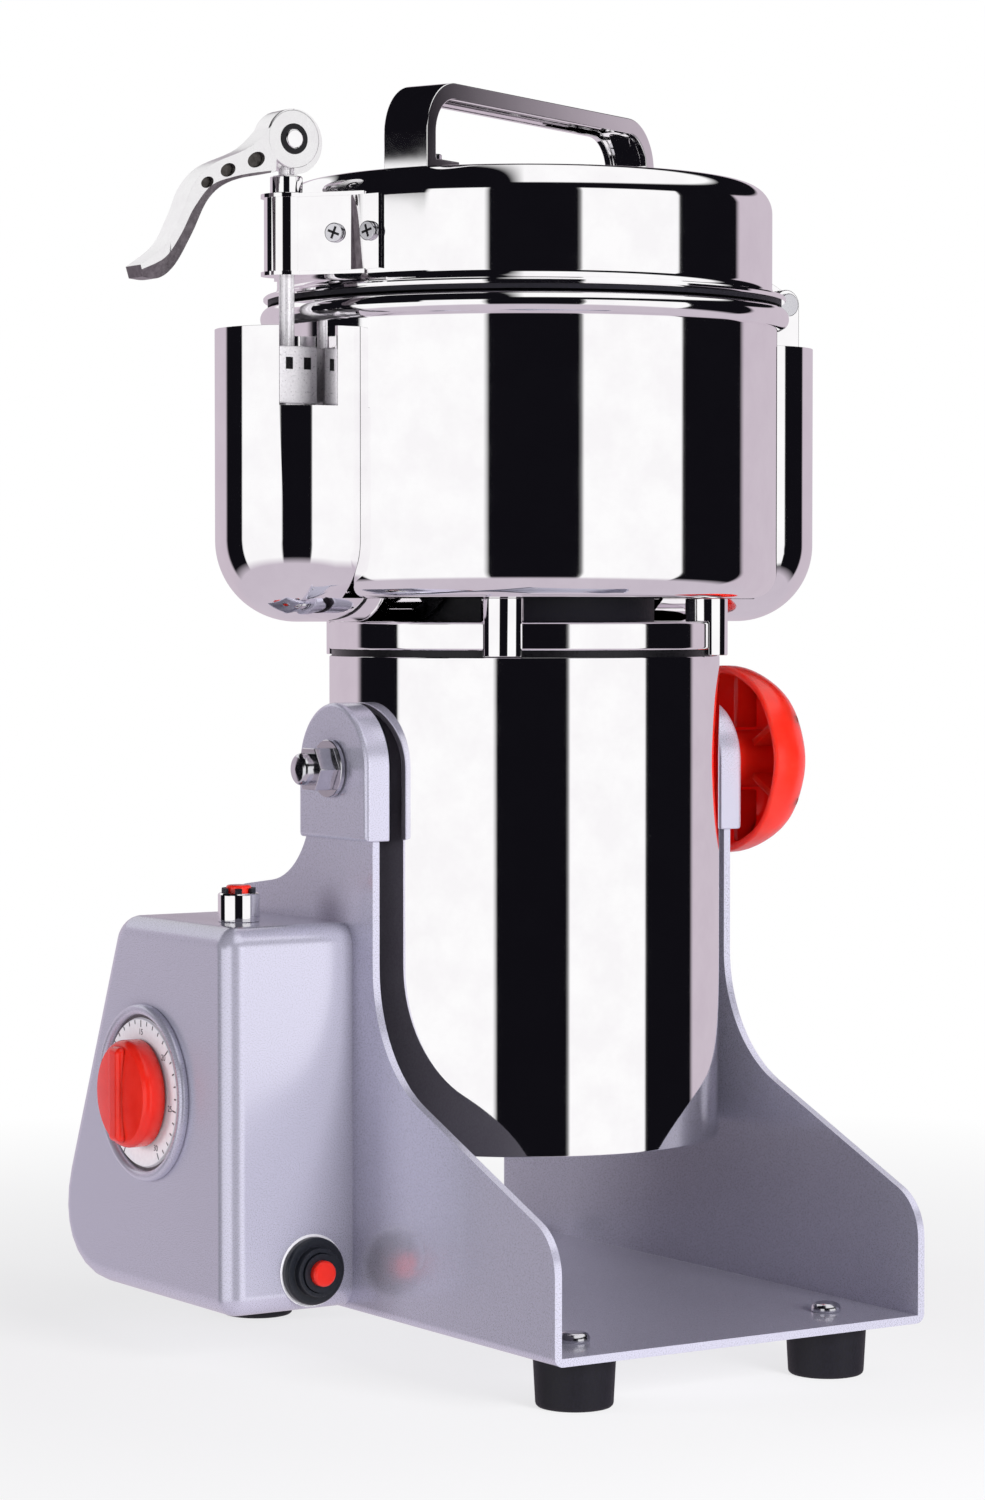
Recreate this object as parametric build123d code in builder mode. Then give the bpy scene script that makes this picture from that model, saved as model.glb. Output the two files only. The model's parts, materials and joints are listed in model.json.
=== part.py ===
from build123d import *
import os
from math import atan2, cos, degrees, radians, sin, sqrt

# Electric grain grinder: a tilting motor tube with a grinding bowl on top, carried by a folded
# sheet-metal base with a control box on its left side. Millimetres, +Z up, front towards -Y.
# All lengths below are measured from the motor axis and from the surface that the feet stand on.

# Shared fits
overrun = 1.0           # how far a cut runs past the faces that it opens
seat_gap = 0.05         # gap between pieces that are fastened together
run_gap = 0.06          # radial gap of a pin, shaft or plunger in its bore
clear_gap = 0.4         # gap between faces that move past each other

# Base frame, folded from one sheet
sheet = 2.5
base_front = 118.7
base_back = 111.9
motor_gap = 3.5         # between the motor tube and each side panel
bend_radius = 3.0
foot_height = 16.6
shoulder_height = 53.2  # where the sloping edge meets the upright front and back edges
shoulder_radius = 16.0
slope_foot = 95.6       # where the sloping edge meets the arm
arm_fillet = 44.0
arm_half = 18.5
pivot_height = 186.0
shelf_drop = 34.0       # from the pivot to the left panel's top edge behind the arm
shelf_fall = 6.0
shelf_back = 66.0
shelf_fillet = 28.0
shelf_corner = 10.0
shelf_shoulder = 47.0

# Pressed caps over the arm heads, and the pivot
cap_plate = 3.5
cap_wrap = 2.0
cap_depth = 5.1
cap_skirt = 22.0
cap_back_skirt = 8.0    # the lip behind the arm ends higher, above the panel's curve
cap_edge = 1.6
stud_radius = 4.0
bush_wall = 2.0
boss_radius = 13.0
washer_radius = 9.0
washer_thick = 1.6
nut_flats = 13.0
nut_thick = 6.5
stud_tail = 4.0

# Feet
foot_side = 21.5
foot_inset = 21.4
foot_top_radius = 12.5
foot_low_radius = 11.6
foot_screw_radius = 2.5
foot_screw_length = 12.0
foot_head_radius = 4.6
foot_head_height = 2.8
foot_head_round = 2.0

# Control box
box_depth = 44.5
box_front = 6.4
box_low = 18.0
box_shelf_gap = 8.0     # from the left panel's top edge down to the box
box_top_back = 66.6
box_foot_back = 117.0
box_wall = 1.5
box_front_corner = 7.0
box_back_corner = 10.0
box_heel_corner = 26.0
box_edge = 5.0
box_tab = 11.0
box_tab_depth = 14.0
box_tab_inset = 14.0
box_tab_low_front = 34.4
box_tab_low_back = 41.0
box_screw_radius = 2.0
box_screw_length = 12.0
box_screw_head_radius = 4.0
box_screw_head = 1.8

# Timer on the box's outer face
timer_y = 46.0
timer_drop = 55.0
timer_body_side = 42.0
timer_body_depth = 24.0
timer_neck_radius = 5.0
dial_radius = 28.0
dial_thick = 2.0
dial_edge = 0.8
spindle_radius = 3.0
spindle_seat = 16.0
knob_radius = 17.0
knob_disc = 6.5
knob_bar_width = 8.0
knob_bar_rise = 2.6
knob_bar_edge = 1.2
knob_disc_edge = 2.4

# Overload breaker on the box's front face
breaker_reach = 15.0    # from the left panel's outer face
breaker_rise = 13.0
breaker_body_radius = 6.4
breaker_body_length = 24.0
breaker_neck_radius = 6.0
breaker_neck = 6.5
breaker_bezel_radius = 10.5
breaker_bezel_thick = 3.0
breaker_collar_radius = 7.6
breaker_collar = 2.8
breaker_edge = 1.0
reset_radius = 4.0
reset_proud = 2.4
reset_travel = 2.0

# Push switch on top of the box
switch_reach = 25.5     # from the left panel's outer face
switch_y = 20.0
switch_body_radius = 6.0
switch_body_length = 22.0
switch_neck_radius = 4.9
switch_bezel_radius = 6.5
switch_bezel_height = 9.0
switch_edge = 0.8
power_radius = 3.9
power_proud = 2.5
power_travel = 2.0

# Cable gland on the box's sloping back face
gland_rise = 50.0
gland_flange_radius = 9.0
gland_flange = 2.0
gland_nose_radius = 6.5
gland_nose_tip_radius = 5.2
gland_nose = 8.0
gland_neck_radius = 5.0
gland_nut = 5.0
gland_bore_radius = 3.4

# Motor tube and what it holds
tube_radius = 62.5
tube_wall = 1.5
tube_below = 118.4      # from the pivot to the tube's ends
tube_above = 36.8
cover_recess = 1.0
cover_thick = 2.0
vent_width = 4.0
vent_length = 22.0
vent_circle = 36.0
vent_count = 12
bracket_rise = 16.4
bracket_thick = 9.0
bearing_radius = 13.0
bearing_height = 9.0
stator_rise = 44.4
stator_wall = 24.0
shaft_radius = 5.0
shaft_tail = 6.0
air_gap = 0.8           # between the armature and the stator
armature_below = 3.5    # how far the armature stands out of the stator
armature_above = 4.0
commutator_radius = 15.0
commutator_gap = 2.0
brush_width = 10.0
brush_height = 12.0
brush_reach = 40.0
fan_gap = 6.0
fan_clear = 19.8
fan_disc = 2.0
fan_wall_gap = 9.0
fan_hub_radius = 10.0
fan_height = 12.0
fan_vane = 1.6
fan_vane_count = 9
top_cap_height = 8.8
top_cap_spigot = 9.0
top_cap_edge = 1.2
pillar_radius = 6.7
pillar_inset = 2.5
pillar_angle = 40.0     # from the front and back lines
pillar_apron = 10.6     # how far its outer side hangs down in front of the cap
gasket_width = 6.0

# Grinding bowl
bowl_radius = 80.65
bowl_wall = 1.5
neck_gap = 7.35         # between the motor's cap and the bowl
bowl_height = 92.3
bowl_corner = 8.0
bead_proud = 3.75
bead_half = 3.6
seal_radius = 9.0
seal_drop = 3.0
seal_rise = 4.0
seal_flange_radius = 13.0

# Half-round arms that carry the bowl
arm_offset = 4.05
arm_radius = 25.0
arm_wall = 1.5
arm_drop = 9.8
arm_inner_end = 42.0
notch_height = 24.2
notch_width = 16.7
notch_depth = 12.0
shelf_plate = 2.5
cheek = 2.5

# Blades
blade_length = 68.0     # from the shaft to the tip
blade_width = 17.0
blade_tip_width = 9.0
blade_thick = 2.0
blade_hub_radius = 11.0
blade_rise = 6.5
blade_pitch = 15.0
blade_turns = (0.0, 60.0, 120.0)
blade_nut_flats = 14.0
blade_nut_height = 9.0

# Lid
lid_step = 1.65         # how far the lid's wall stands in from the bowl's
lid_wall = 1.5
lid_height = 36.85
lid_round = 9.0
lid_flange_step = 1.0
lid_flange_thick = 1.6
lid_flare = 3.0
lid_seal_thick = 1.4
lid_seal_step = 1.2
lid_seal_width = 4.2

# Lid handle, a bent strap
handle_half = 68.0
handle_turn = 24.0      # from the line through the clamp and the hinge
handle_rise = 27.0
handle_strap = 3.0
handle_width = 16.0
handle_lip = 2.4
handle_lip_drop = 2.0
handle_round = 16.0
handle_tab = 18.0
handle_screw_inset = 6.0
handle_screw_radius = 2.5
handle_screw_head_radius = 4.5
handle_screw_head = 2.2
handle_screw_nut = 4.0

# Cam clamp on the left
rod_gap = 3.6           # between the rod's axis and the bowl's bead
rod_radius = 2.4
rod_eye_radius = 5.6
rod_eye_thick = 4.0
block_reach = 21.5
block_height = 16.0
block_in = 2.4
block_out = 4.4
block_half = 4.0
block_hole = 2.4
bracket_nose = 6.9
bracket_wing = 24.0
bracket_drop = 7.2
bracket_lip = 1.2
bracket_lip_reach = 1.0
leaf_thick = 1.5
leaf_angle = 23.0
bracket_screw_angle = 20.6
bracket_screw_radius = 1.6
bracket_screw_head_radius = 3.0
bracket_screw_head = 1.4
bracket_screw_length = 6.0
collar_radius = 5.0
collar_height = 5.6
cam_radius = 10.0
cam_offset = 0.8
cam_gap = 0.3
cam_pin_radius = 3.0
lever_thick = 9.5
lever_run = 53.3
lever_drop = 43.5
lever_slot = 6.4
lever_slot_width = 4.4
lever_slot_turn = 28.0
cam_pin_proud = 0.8

# Lid hinge on the right
hinge_reach = 11.6
hinge_rise = 2.85
hinge_pin_radius = 2.5
hinge_knuckle_radius = 5.0
hinge_tongue_half = 9.5
hinge_leaf_angle = 15.0
hinge_leaf_gap = 3.5
hinge_leaf_height = 32.0

# Lock knob on the right
lock_radius = 31.0
lock_gap = 6.0
lock_depth = 19.0
lock_wall = 3.0
lock_web = 4.0
lock_hub_radius = 9.5
lock_rib = 2.5
lock_rib_count = 6
lock_edge = 2.0
lock_scallop_radius = 20.0
lock_scallop_depth = 1.0
lock_scallop_count = 10

# Worked-out places: widths from the motor axis outwards
base_half_width = tube_radius + motor_gap + sheet
cap_inner = base_half_width - cap_depth
cap_outer = base_half_width + cap_plate
lock_inner = cap_outer + lock_gap
lock_outer = lock_inner + lock_depth
box_outer = base_half_width + box_depth
foot_x = base_half_width - foot_side
bush_outer = stud_radius + run_gap + bush_wall
tube_bore = tube_radius - tube_wall
stator_bore = tube_bore - stator_wall
armature_radius = stator_bore - air_gap
fan_radius = tube_bore - fan_wall_gap
pillar_circle = tube_radius - pillar_inset
bowl_bore = bowl_radius - bowl_wall
bead_radius = bowl_radius + bead_proud
arm_centre = bowl_radius + arm_offset
notch_inner = arm_centre
notch_outer = notch_inner + notch_width
lid_radius = bowl_radius - lid_step
lid_flange_radius = bead_radius - lid_flange_step
lid_seal_inner = lid_radius - lid_seal_step
lid_seal_outer = lid_seal_inner + lid_seal_width
hinge_x = bead_radius + hinge_reach
rod_x = bead_radius + rod_gap
block_inner = rod_x - block_in
block_outer = rod_x + block_out
lever_reach = rod_x + lever_run

# Heights from the floor up
floor_top = foot_height + sheet
shelf_high = pivot_height - shelf_drop
shelf_low = shelf_high - shelf_fall
box_top = shelf_low - box_shelf_gap
timer_z = box_top - timer_drop
breaker_z = box_low + breaker_rise
gland_height = box_low + gland_rise
cap_foot = pivot_height - cap_skirt
cap_back_foot = pivot_height - cap_back_skirt
tube_low = pivot_height - tube_below
tube_top = pivot_height + tube_above
top_cap_top = tube_top + seat_gap + top_cap_height
bracket_low = tube_low + bracket_rise
shaft_low = bracket_low - shaft_tail
commutator_low = bracket_low + bracket_thick + commutator_gap
stator_low = tube_low + stator_rise
armature_low = stator_low - armature_below
fan_low = tube_top - top_cap_spigot - fan_clear - fan_height
armature_top = fan_low - fan_gap
stator_top = armature_top - armature_above
bowl_low = top_cap_top + neck_gap
bowl_top = bowl_low + bowl_height
arm_level = top_cap_top + seat_gap + arm_radius
arm_top = bowl_top - arm_drop
notch_low = arm_top - notch_height
block_low = arm_top - block_reach
block_top = block_low + block_height
lid_seal_low = bowl_top + clear_gap
lid_low = lid_seal_low + lid_seal_thick + seat_gap
lid_top = lid_low + lid_height
lid_flare_top = lid_low + lid_flange_thick + lid_flare
handle_top = lid_top + handle_rise
hinge_height = lid_low + hinge_rise
hinge_leaf_low = hinge_height + hinge_leaf_gap
hinge_leaf_top = hinge_leaf_low + hinge_leaf_height
bracket_bottom = lid_flare_top + seat_gap
bracket_top = lid_top - bracket_drop
cam_pin_height = bracket_top + seat_gap + collar_height + cam_gap + cam_offset + cam_radius

# Shared places
axis_x = (lever_reach - arm_centre - arm_radius) / 2
axis_y = (base_front - base_back) / 2
motor_axis = Axis((axis_x, axis_y, 0), (0, 0, 1))
foot_rows = (foot_inset - base_front, base_back - foot_inset)
foot_places = [(sign * foot_x, y) for sign in (-1, 1) for y in foot_rows]
pivot_place = (0, pivot_height)
sides = {"left": -1, "right": 1}
pieces = {}


def level(z):
    """Horizontal plane at a height, centred on the motor axis."""
    return Plane(origin=(axis_x, axis_y, z))


def side(x):
    """Upright plane across the machine at x, with +Y to its right and +Z up."""
    return Plane(origin=(axis_x + x, axis_y, 0), x_dir=(0, 1, 0), z_dir=(1, 0, 0))


def front(y):
    """Upright plane facing the front at y, with +X to its right and +Z up."""
    return Plane(origin=(axis_x, axis_y + y, 0), x_dir=(1, 0, 0), z_dir=(0, -1, 0))


def ring(plane, outer, inner=0, centre=(0, 0)):
    """Disc, or ring when it has an inner radius."""
    with BuildSketch(plane) as face:
        with Locations(centre):
            Circle(outer)
            if inner > 0:
                Circle(inner, mode=Mode.SUBTRACT)
    return face.sketch


def bar(plane, width, height, centre=(0, 0)):
    """Rectangle by its centre."""
    with BuildSketch(plane) as face:
        with Locations(centre):
            Rectangle(width, height)
    return face.sketch


def hexagon(plane, flats, centre=(0, 0)):
    """Hexagon by its width across flats."""
    with BuildSketch(plane) as face:
        with Locations(centre):
            RegularPolygon(flats / 2, 6, major_radius=False)
    return face.sketch


# Base frame
def panel_face(x, back_points, back_radii):
    """Outline of a side panel, with its arm."""
    with BuildSketch(side(x)) as face:
        with BuildLine():
            FilletPolyline(
                (-base_front, foot_height),
                (-base_front, shoulder_height),
                (-arm_half, slope_foot),
                (-arm_half, pivot_height),
                radius=[shoulder_radius, arm_fillet],
            )
            ThreePointArc((-arm_half, pivot_height), (0, pivot_height + arm_half), (arm_half, pivot_height))
            FilletPolyline(*back_points, radius=back_radii)
            Line((base_back, foot_height), (-base_front, foot_height))
        make_face()
    return face.sketch


left_back = (
    (arm_half, pivot_height),
    (arm_half, shelf_high),
    (shelf_back, shelf_low),
    (base_back, shelf_shoulder),
    (base_back, foot_height),
)
right_back = (
    (arm_half, pivot_height),
    (arm_half, slope_foot),
    (base_back, shoulder_height),
    (base_back, foot_height),
)
box_tab_low = box_low + box_wall + box_tab / 2
box_tab_high = box_top - box_wall - box_tab / 2
box_tab_places = (
    (box_tab_low_front - box_front, box_tab_low),
    (box_foot_back - box_tab_low_back, box_tab_low),
    (box_tab_inset - box_front, box_tab_high),
    (box_top_back - box_tab_inset, box_tab_high),
)

with BuildPart() as base_frame:
    extrude(
        panel_face(-base_half_width, left_back, [shelf_fillet, shelf_corner, shelf_corner]),
        amount=sheet,
    )
    extrude(panel_face(base_half_width, right_back, [arm_fillet, shoulder_radius]), amount=-sheet)
    base_length = base_front + base_back
    extrude(
        bar(level(foot_height), 2 * base_half_width, base_length, (0, (base_back - base_front) / 2)),
        amount=sheet,
    )
    fillet(base_frame.edges().filter_by(Axis.Y).group_by(Axis.Z)[0], bend_radius)
    extrude(
        ring(side(-base_half_width - overrun), bush_outer + seat_gap, centre=pivot_place),
        amount=2 * (base_half_width + overrun),
        mode=Mode.SUBTRACT,
    )
    for place in foot_places:
        extrude(
            ring(level(foot_height - overrun), foot_screw_radius + seat_gap, centre=place),
            amount=sheet + 2 * overrun,
            mode=Mode.SUBTRACT,
        )
    for place in box_tab_places:
        extrude(
            ring(side(-base_half_width - overrun), box_screw_radius + seat_gap, centre=place),
            amount=sheet + 2 * overrun,
            mode=Mode.SUBTRACT,
        )
pieces["base_frame"] = base_frame


# Pressed caps over the arm heads
def head_face(x, half, low):
    """Arm head: straight sides under a half-round top."""
    with BuildSketch(side(x)) as face:
        with BuildLine():
            Polyline((-half, pivot_height), (-half, low), (half, low), (half, pivot_height))
            ThreePointArc((half, pivot_height), (0, pivot_height + half), (-half, pivot_height))
        make_face()
    return face.sketch


for name, sign in sides.items():
    with BuildPart() as cap:
        extrude(
            head_face(sign * cap_inner, arm_half + cap_wrap, cap_foot),
            amount=sign * (cap_outer - cap_inner),
        )
        outer_face = cap.faces().sort_by(Axis.X)[-1 if sign > 0 else 0]
        fillet(outer_face.edges(), cap_edge)
        extrude(
            head_face(sign * (cap_inner - overrun), arm_half + seat_gap, cap_foot - overrun),
            amount=sign * (base_half_width + seat_gap - cap_inner + overrun),
            mode=Mode.SUBTRACT,
        )
        lip_middle = (arm_half + cap_wrap, (cap_foot + cap_back_foot) / 2)
        extrude(
            bar(side(sign * cap_inner), 2 * cap_wrap, cap_back_foot - cap_foot, lip_middle),
            amount=sign * (base_half_width + seat_gap - cap_inner),
            mode=Mode.SUBTRACT,
        )
        extrude(
            ring(side(sign * cap_inner), bush_outer + seat_gap, centre=pivot_place),
            amount=sign * (cap_plate + cap_outer - cap_inner),
            mode=Mode.SUBTRACT,
        )
    pieces[f"pivot_cap_{name}"] = cap

with BuildPart() as pivot_bushes:
    for sign in sides.values():
        bush_plane = side(sign * (base_half_width - sheet))
        extrude(
            ring(bush_plane, bush_outer, stud_radius + run_gap, pivot_place),
            amount=sign * (cap_plate + sheet),
        )
pieces["pivot_bushes"] = pivot_bushes

# Feet
foot_taper = -degrees(atan2(foot_top_radius - foot_low_radius, foot_height))

with BuildPart() as rubber_feet:
    for place in foot_places:
        extrude(
            ring(level(0), foot_low_radius, centre=place),
            amount=foot_height - seat_gap,
            taper=foot_taper,
        )
    for place in foot_places:
        extrude(
            ring(level(foot_height - foot_screw_length), foot_screw_radius + seat_gap, centre=place),
            amount=foot_screw_length,
            mode=Mode.SUBTRACT,
        )
pieces["rubber_feet"] = rubber_feet

with BuildPart() as foot_screws:
    for place in foot_places:
        extrude(ring(level(floor_top + seat_gap), foot_head_radius, centre=place), amount=foot_head_height)
    fillet(foot_screws.edges().group_by(Axis.Z)[-1], foot_head_round)
    for place in foot_places:
        extrude(
            ring(level(floor_top + seat_gap), foot_screw_radius, centre=place),
            amount=seat_gap - foot_screw_length,
        )
pieces["foot_screws"] = foot_screws

# Control box
box_corners = {
    (-box_front, box_low): box_front_corner,
    (-box_front, box_top): box_front_corner,
    (box_top_back, box_top): box_back_corner,
    (box_foot_back, box_low): box_heel_corner,
}
breaker_x = -base_half_width - breaker_reach
switch_x = -base_half_width - switch_reach
back_lean = atan2(box_foot_back - box_top_back, box_top - box_low)
back_share = (box_top - gland_height) / (box_top - box_low)
gland_y = box_top_back + back_share * (box_foot_back - box_top_back)
gland_plane = Plane(
    origin=(axis_x - base_half_width - box_depth / 2, axis_y + gland_y, gland_height),
    x_dir=(1, 0, 0),
    z_dir=(0, cos(back_lean), sin(back_lean)),
)

with BuildPart() as control_box:
    with BuildSketch(side(-base_half_width - seat_gap)) as box_outline:
        with BuildLine():
            Polyline(*box_corners, close=True)
        make_face()
        for corner, radius in box_corners.items():
            fillet(box_outline.vertices().sort_by_distance((*corner, 0))[0], radius)
    extrude(amount=seat_gap - box_depth)
    fillet(control_box.faces().sort_by(Axis.X)[0].edges(), box_edge)
    offset(amount=-box_wall, openings=control_box.faces().sort_by(Axis.X)[-1])
    for y, z in box_tab_places:
        extrude(bar(side(-base_half_width - seat_gap), box_tab, box_tab, (y, z)), amount=-box_tab_depth)
        extrude(
            ring(side(-base_half_width + overrun), box_screw_radius + seat_gap, centre=(y, z)),
            amount=-box_screw_length - overrun,
            mode=Mode.SUBTRACT,
        )
    extrude(
        ring(side(-box_outer - overrun), timer_neck_radius + seat_gap, centre=(timer_y, timer_z)),
        amount=box_wall + 2 * overrun,
        mode=Mode.SUBTRACT,
    )
    extrude(
        ring(front(-box_front - overrun), breaker_neck_radius + seat_gap, centre=(breaker_x, breaker_z)),
        amount=-box_wall - 2 * overrun,
        mode=Mode.SUBTRACT,
    )
    extrude(
        ring(level(box_top + overrun), switch_neck_radius + seat_gap, centre=(switch_x, switch_y)),
        amount=-box_wall - 2 * overrun,
        mode=Mode.SUBTRACT,
    )
    extrude(
        ring(gland_plane.offset(overrun), gland_neck_radius + seat_gap),
        amount=-box_wall - 2 * overrun,
        mode=Mode.SUBTRACT,
    )
pieces["control_box"] = control_box

with BuildPart() as box_screws:
    for place in box_tab_places:
        extrude(
            ring(side(sheet + seat_gap - base_half_width), box_screw_head_radius, centre=place),
            amount=box_screw_head,
        )
        extrude(
            ring(side(sheet + seat_gap - base_half_width), box_screw_radius, centre=place),
            amount=-box_screw_length,
        )
pieces["box_screws"] = box_screws

# Timer
timer_place = (timer_y, timer_z)
timer_back = box_wall + seat_gap - box_outer

with BuildPart() as timer_body:
    extrude(bar(side(timer_back), timer_body_side, timer_body_side, timer_place), amount=timer_body_depth)
    extrude(ring(side(timer_back), timer_neck_radius, centre=timer_place), amount=-box_wall - seat_gap)
    extrude(
        ring(side(-box_outer - overrun), spindle_radius + run_gap, centre=timer_place),
        amount=overrun + box_wall + spindle_seat,
        mode=Mode.SUBTRACT,
    )
pieces["timer_body"] = timer_body

with BuildPart() as timer_dial:
    extrude(
        ring(side(-box_outer - seat_gap), dial_radius, timer_neck_radius, timer_place),
        amount=-dial_thick,
    )
    fillet(timer_dial.faces().sort_by(Axis.X)[0].edges().sort_by(SortBy.LENGTH)[-1], dial_edge)
pieces["timer_dial"] = timer_dial

knob_back = -box_outer - seat_gap - dial_thick - clear_gap
knob_face = knob_back - knob_disc

with BuildPart() as timer_spindle:
    extrude(
        ring(side(knob_face + seat_gap), spindle_radius, centre=timer_place),
        amount=box_wall + spindle_seat - box_outer - knob_face - clear_gap,
    )
pieces["timer_spindle"] = timer_spindle

with BuildPart() as timer_knob:
    extrude(ring(side(knob_back), knob_radius, centre=timer_place), amount=-knob_disc)
    fillet(timer_knob.faces().sort_by(Axis.X)[0].edges(), knob_disc_edge)
    extrude(
        bar(side(knob_face), knob_bar_width, 2 * (knob_radius - knob_disc_edge), timer_place),
        amount=-knob_bar_rise,
    )
    fillet(timer_knob.faces().sort_by(Axis.X)[0].edges(), knob_bar_edge)
    extrude(
        ring(side(knob_back + overrun), spindle_radius + seat_gap, centre=timer_place),
        amount=-overrun - knob_disc,
        mode=Mode.SUBTRACT,
    )
pieces["timer_knob"] = timer_knob

# Overload breaker
breaker_place = (breaker_x, breaker_z)
breaker_back = box_wall + seat_gap - box_front

with BuildPart() as breaker_body:
    extrude(
        ring(front(breaker_back), breaker_body_radius, centre=breaker_place),
        amount=-breaker_body_length,
    )
    extrude(
        ring(front(breaker_back), breaker_neck_radius, centre=breaker_place),
        amount=box_wall + seat_gap + breaker_neck,
    )
    extrude(
        ring(front(-box_front - breaker_neck - overrun), reset_radius + run_gap, centre=breaker_place),
        amount=-overrun - breaker_neck - breaker_body_length / 2,
        mode=Mode.SUBTRACT,
    )
pieces["breaker_body"] = breaker_body

with BuildPart() as breaker_bezel:
    bezel_bore = breaker_neck_radius + seat_gap
    extrude(
        ring(front(-box_front - seat_gap), breaker_bezel_radius, bezel_bore, breaker_place),
        amount=breaker_bezel_thick,
    )
    fillet(breaker_bezel.faces().sort_by(Axis.Y)[0].edges().sort_by(SortBy.LENGTH)[-1], breaker_edge)
    extrude(
        ring(front(-box_front - breaker_bezel_thick), breaker_collar_radius, bezel_bore, breaker_place),
        amount=breaker_collar,
    )
pieces["breaker_bezel"] = breaker_bezel

with BuildPart() as reset_button:
    reset_face = -box_front - breaker_neck - reset_proud
    extrude(
        ring(front(reset_face), reset_radius, centre=breaker_place),
        amount=reset_travel + clear_gap - reset_proud - breaker_neck - breaker_body_length / 2,
    )
    fillet(reset_button.faces().sort_by(Axis.Y)[0].edges(), breaker_edge)
pieces["reset_button"] = reset_button

# Push switch
switch_place = (switch_x, switch_y)
switch_back = box_top - box_wall - seat_gap

with BuildPart() as switch_body:
    extrude(ring(level(switch_back), switch_body_radius, centre=switch_place), amount=-switch_body_length)
    extrude(
        ring(level(switch_back), switch_neck_radius, centre=switch_place),
        amount=box_wall + seat_gap + switch_bezel_height,
    )
    extrude(
        ring(level(box_top + switch_bezel_height + overrun), power_radius + run_gap, centre=switch_place),
        amount=-overrun - switch_bezel_height - switch_body_length / 2,
        mode=Mode.SUBTRACT,
    )
pieces["switch_body"] = switch_body

with BuildPart() as switch_bezel:
    extrude(
        ring(level(box_top + seat_gap), switch_bezel_radius, switch_neck_radius + seat_gap, switch_place),
        amount=switch_bezel_height,
    )
    fillet(switch_bezel.faces().sort_by(Axis.Z)[-1].edges().sort_by(SortBy.LENGTH)[-1], switch_edge)
pieces["switch_bezel"] = switch_bezel

with BuildPart() as power_button:
    extrude(
        ring(level(box_top + switch_bezel_height + power_proud), power_radius, centre=switch_place),
        amount=power_travel + clear_gap - power_proud - switch_bezel_height - switch_body_length / 2,
    )
    fillet(power_button.faces().sort_by(Axis.Z)[-1].edges(), switch_edge)
pieces["power_button"] = power_button

# Cable gland
with BuildPart() as cable_gland:
    extrude(ring(gland_plane.offset(seat_gap), gland_flange_radius), amount=gland_flange)
    nose_taper = degrees(atan2(gland_nose_radius - gland_nose_tip_radius, gland_nose))
    extrude(
        ring(gland_plane.offset(seat_gap + gland_flange), gland_nose_radius),
        amount=gland_nose,
        taper=nose_taper,
    )
    extrude(
        ring(gland_plane.offset(seat_gap), gland_neck_radius),
        amount=-2 * seat_gap - box_wall - gland_nut,
    )
    extrude(ring(gland_plane.offset(-box_wall - seat_gap), gland_flange_radius), amount=-gland_nut)
    extrude(
        ring(gland_plane.offset(gland_flange + gland_nose + overrun), gland_bore_radius),
        amount=-gland_flange - gland_nose - box_wall - gland_nut - 2 * overrun,
        mode=Mode.SUBTRACT,
    )
pieces["cable_gland"] = cable_gland

# Motor tube
with BuildPart() as motor_tube:
    extrude(ring(level(tube_low), tube_radius, tube_bore), amount=tube_top - tube_low)
pieces["motor_tube"] = motor_tube

with BuildPart() as bottom_cover:
    extrude(ring(level(tube_low + cover_recess), tube_bore - seat_gap), amount=cover_thick)
    with BuildSketch(level(tube_low + cover_recess - overrun)):
        with PolarLocations(vent_circle, vent_count):
            SlotOverall(vent_length, vent_width)
    extrude(amount=cover_thick + 2 * overrun, mode=Mode.SUBTRACT)
pieces["bottom_cover"] = bottom_cover

# End bracket and bearings
with BuildPart() as end_bracket:
    extrude(ring(level(bracket_low), tube_bore - seat_gap, bearing_radius + seat_gap), amount=bracket_thick)
    with BuildSketch(level(bracket_low - overrun)):
        with PolarLocations(vent_circle, vent_count):
            SlotOverall(vent_length, vent_width)
    extrude(amount=bracket_thick + 2 * overrun, mode=Mode.SUBTRACT)
pieces["end_bracket"] = end_bracket

bearing_levels = {
    "lower_bearing": bracket_low,
    "upper_bearing": tube_top - top_cap_spigot + seat_gap,
}
for name, low in bearing_levels.items():
    with BuildPart() as bearing:
        extrude(ring(level(low), bearing_radius, shaft_radius + run_gap), amount=bearing_height)
    pieces[name] = bearing

with BuildPart() as top_cap:
    extrude(ring(level(tube_top + seat_gap), tube_radius, bearing_radius + seat_gap), amount=top_cap_height)
    fillet(top_cap.faces().sort_by(Axis.Z)[-1].edges().sort_by(SortBy.LENGTH)[-1], top_cap_edge)
    extrude(
        ring(level(tube_top + seat_gap), tube_bore - seat_gap, bearing_radius + seat_gap),
        amount=-top_cap_spigot,
    )
pieces["top_cap"] = top_cap

with BuildPart() as stator:
    extrude(ring(level(stator_low), tube_bore - seat_gap, stator_bore), amount=stator_top - stator_low)
pieces["stator"] = stator

with BuildPart() as brush_holders:
    for sign in sides.values():
        brush_middle = sign * (commutator_radius + clear_gap + brush_reach) / 2
        extrude(
            bar(
                level(bracket_low + bracket_thick + seat_gap),
                brush_reach - commutator_radius - clear_gap,
                brush_width,
                (brush_middle, 0),
            ),
            amount=brush_height,
        )
pieces["brush_holders"] = brush_holders

# Rotor
blade_names = ("blade_lower", "blade_middle", "blade_upper")
blade_first = bowl_low + bowl_wall + blade_rise
blade_levels = [blade_first + step * blade_pitch for step in range(len(blade_names))]
with BuildPart() as motor_shaft:
    shaft_top = blade_levels[-1] + blade_thick + seat_gap + blade_nut_height
    extrude(ring(level(shaft_low), shaft_radius), amount=shaft_top - shaft_low)
pieces["motor_shaft"] = motor_shaft

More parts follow.
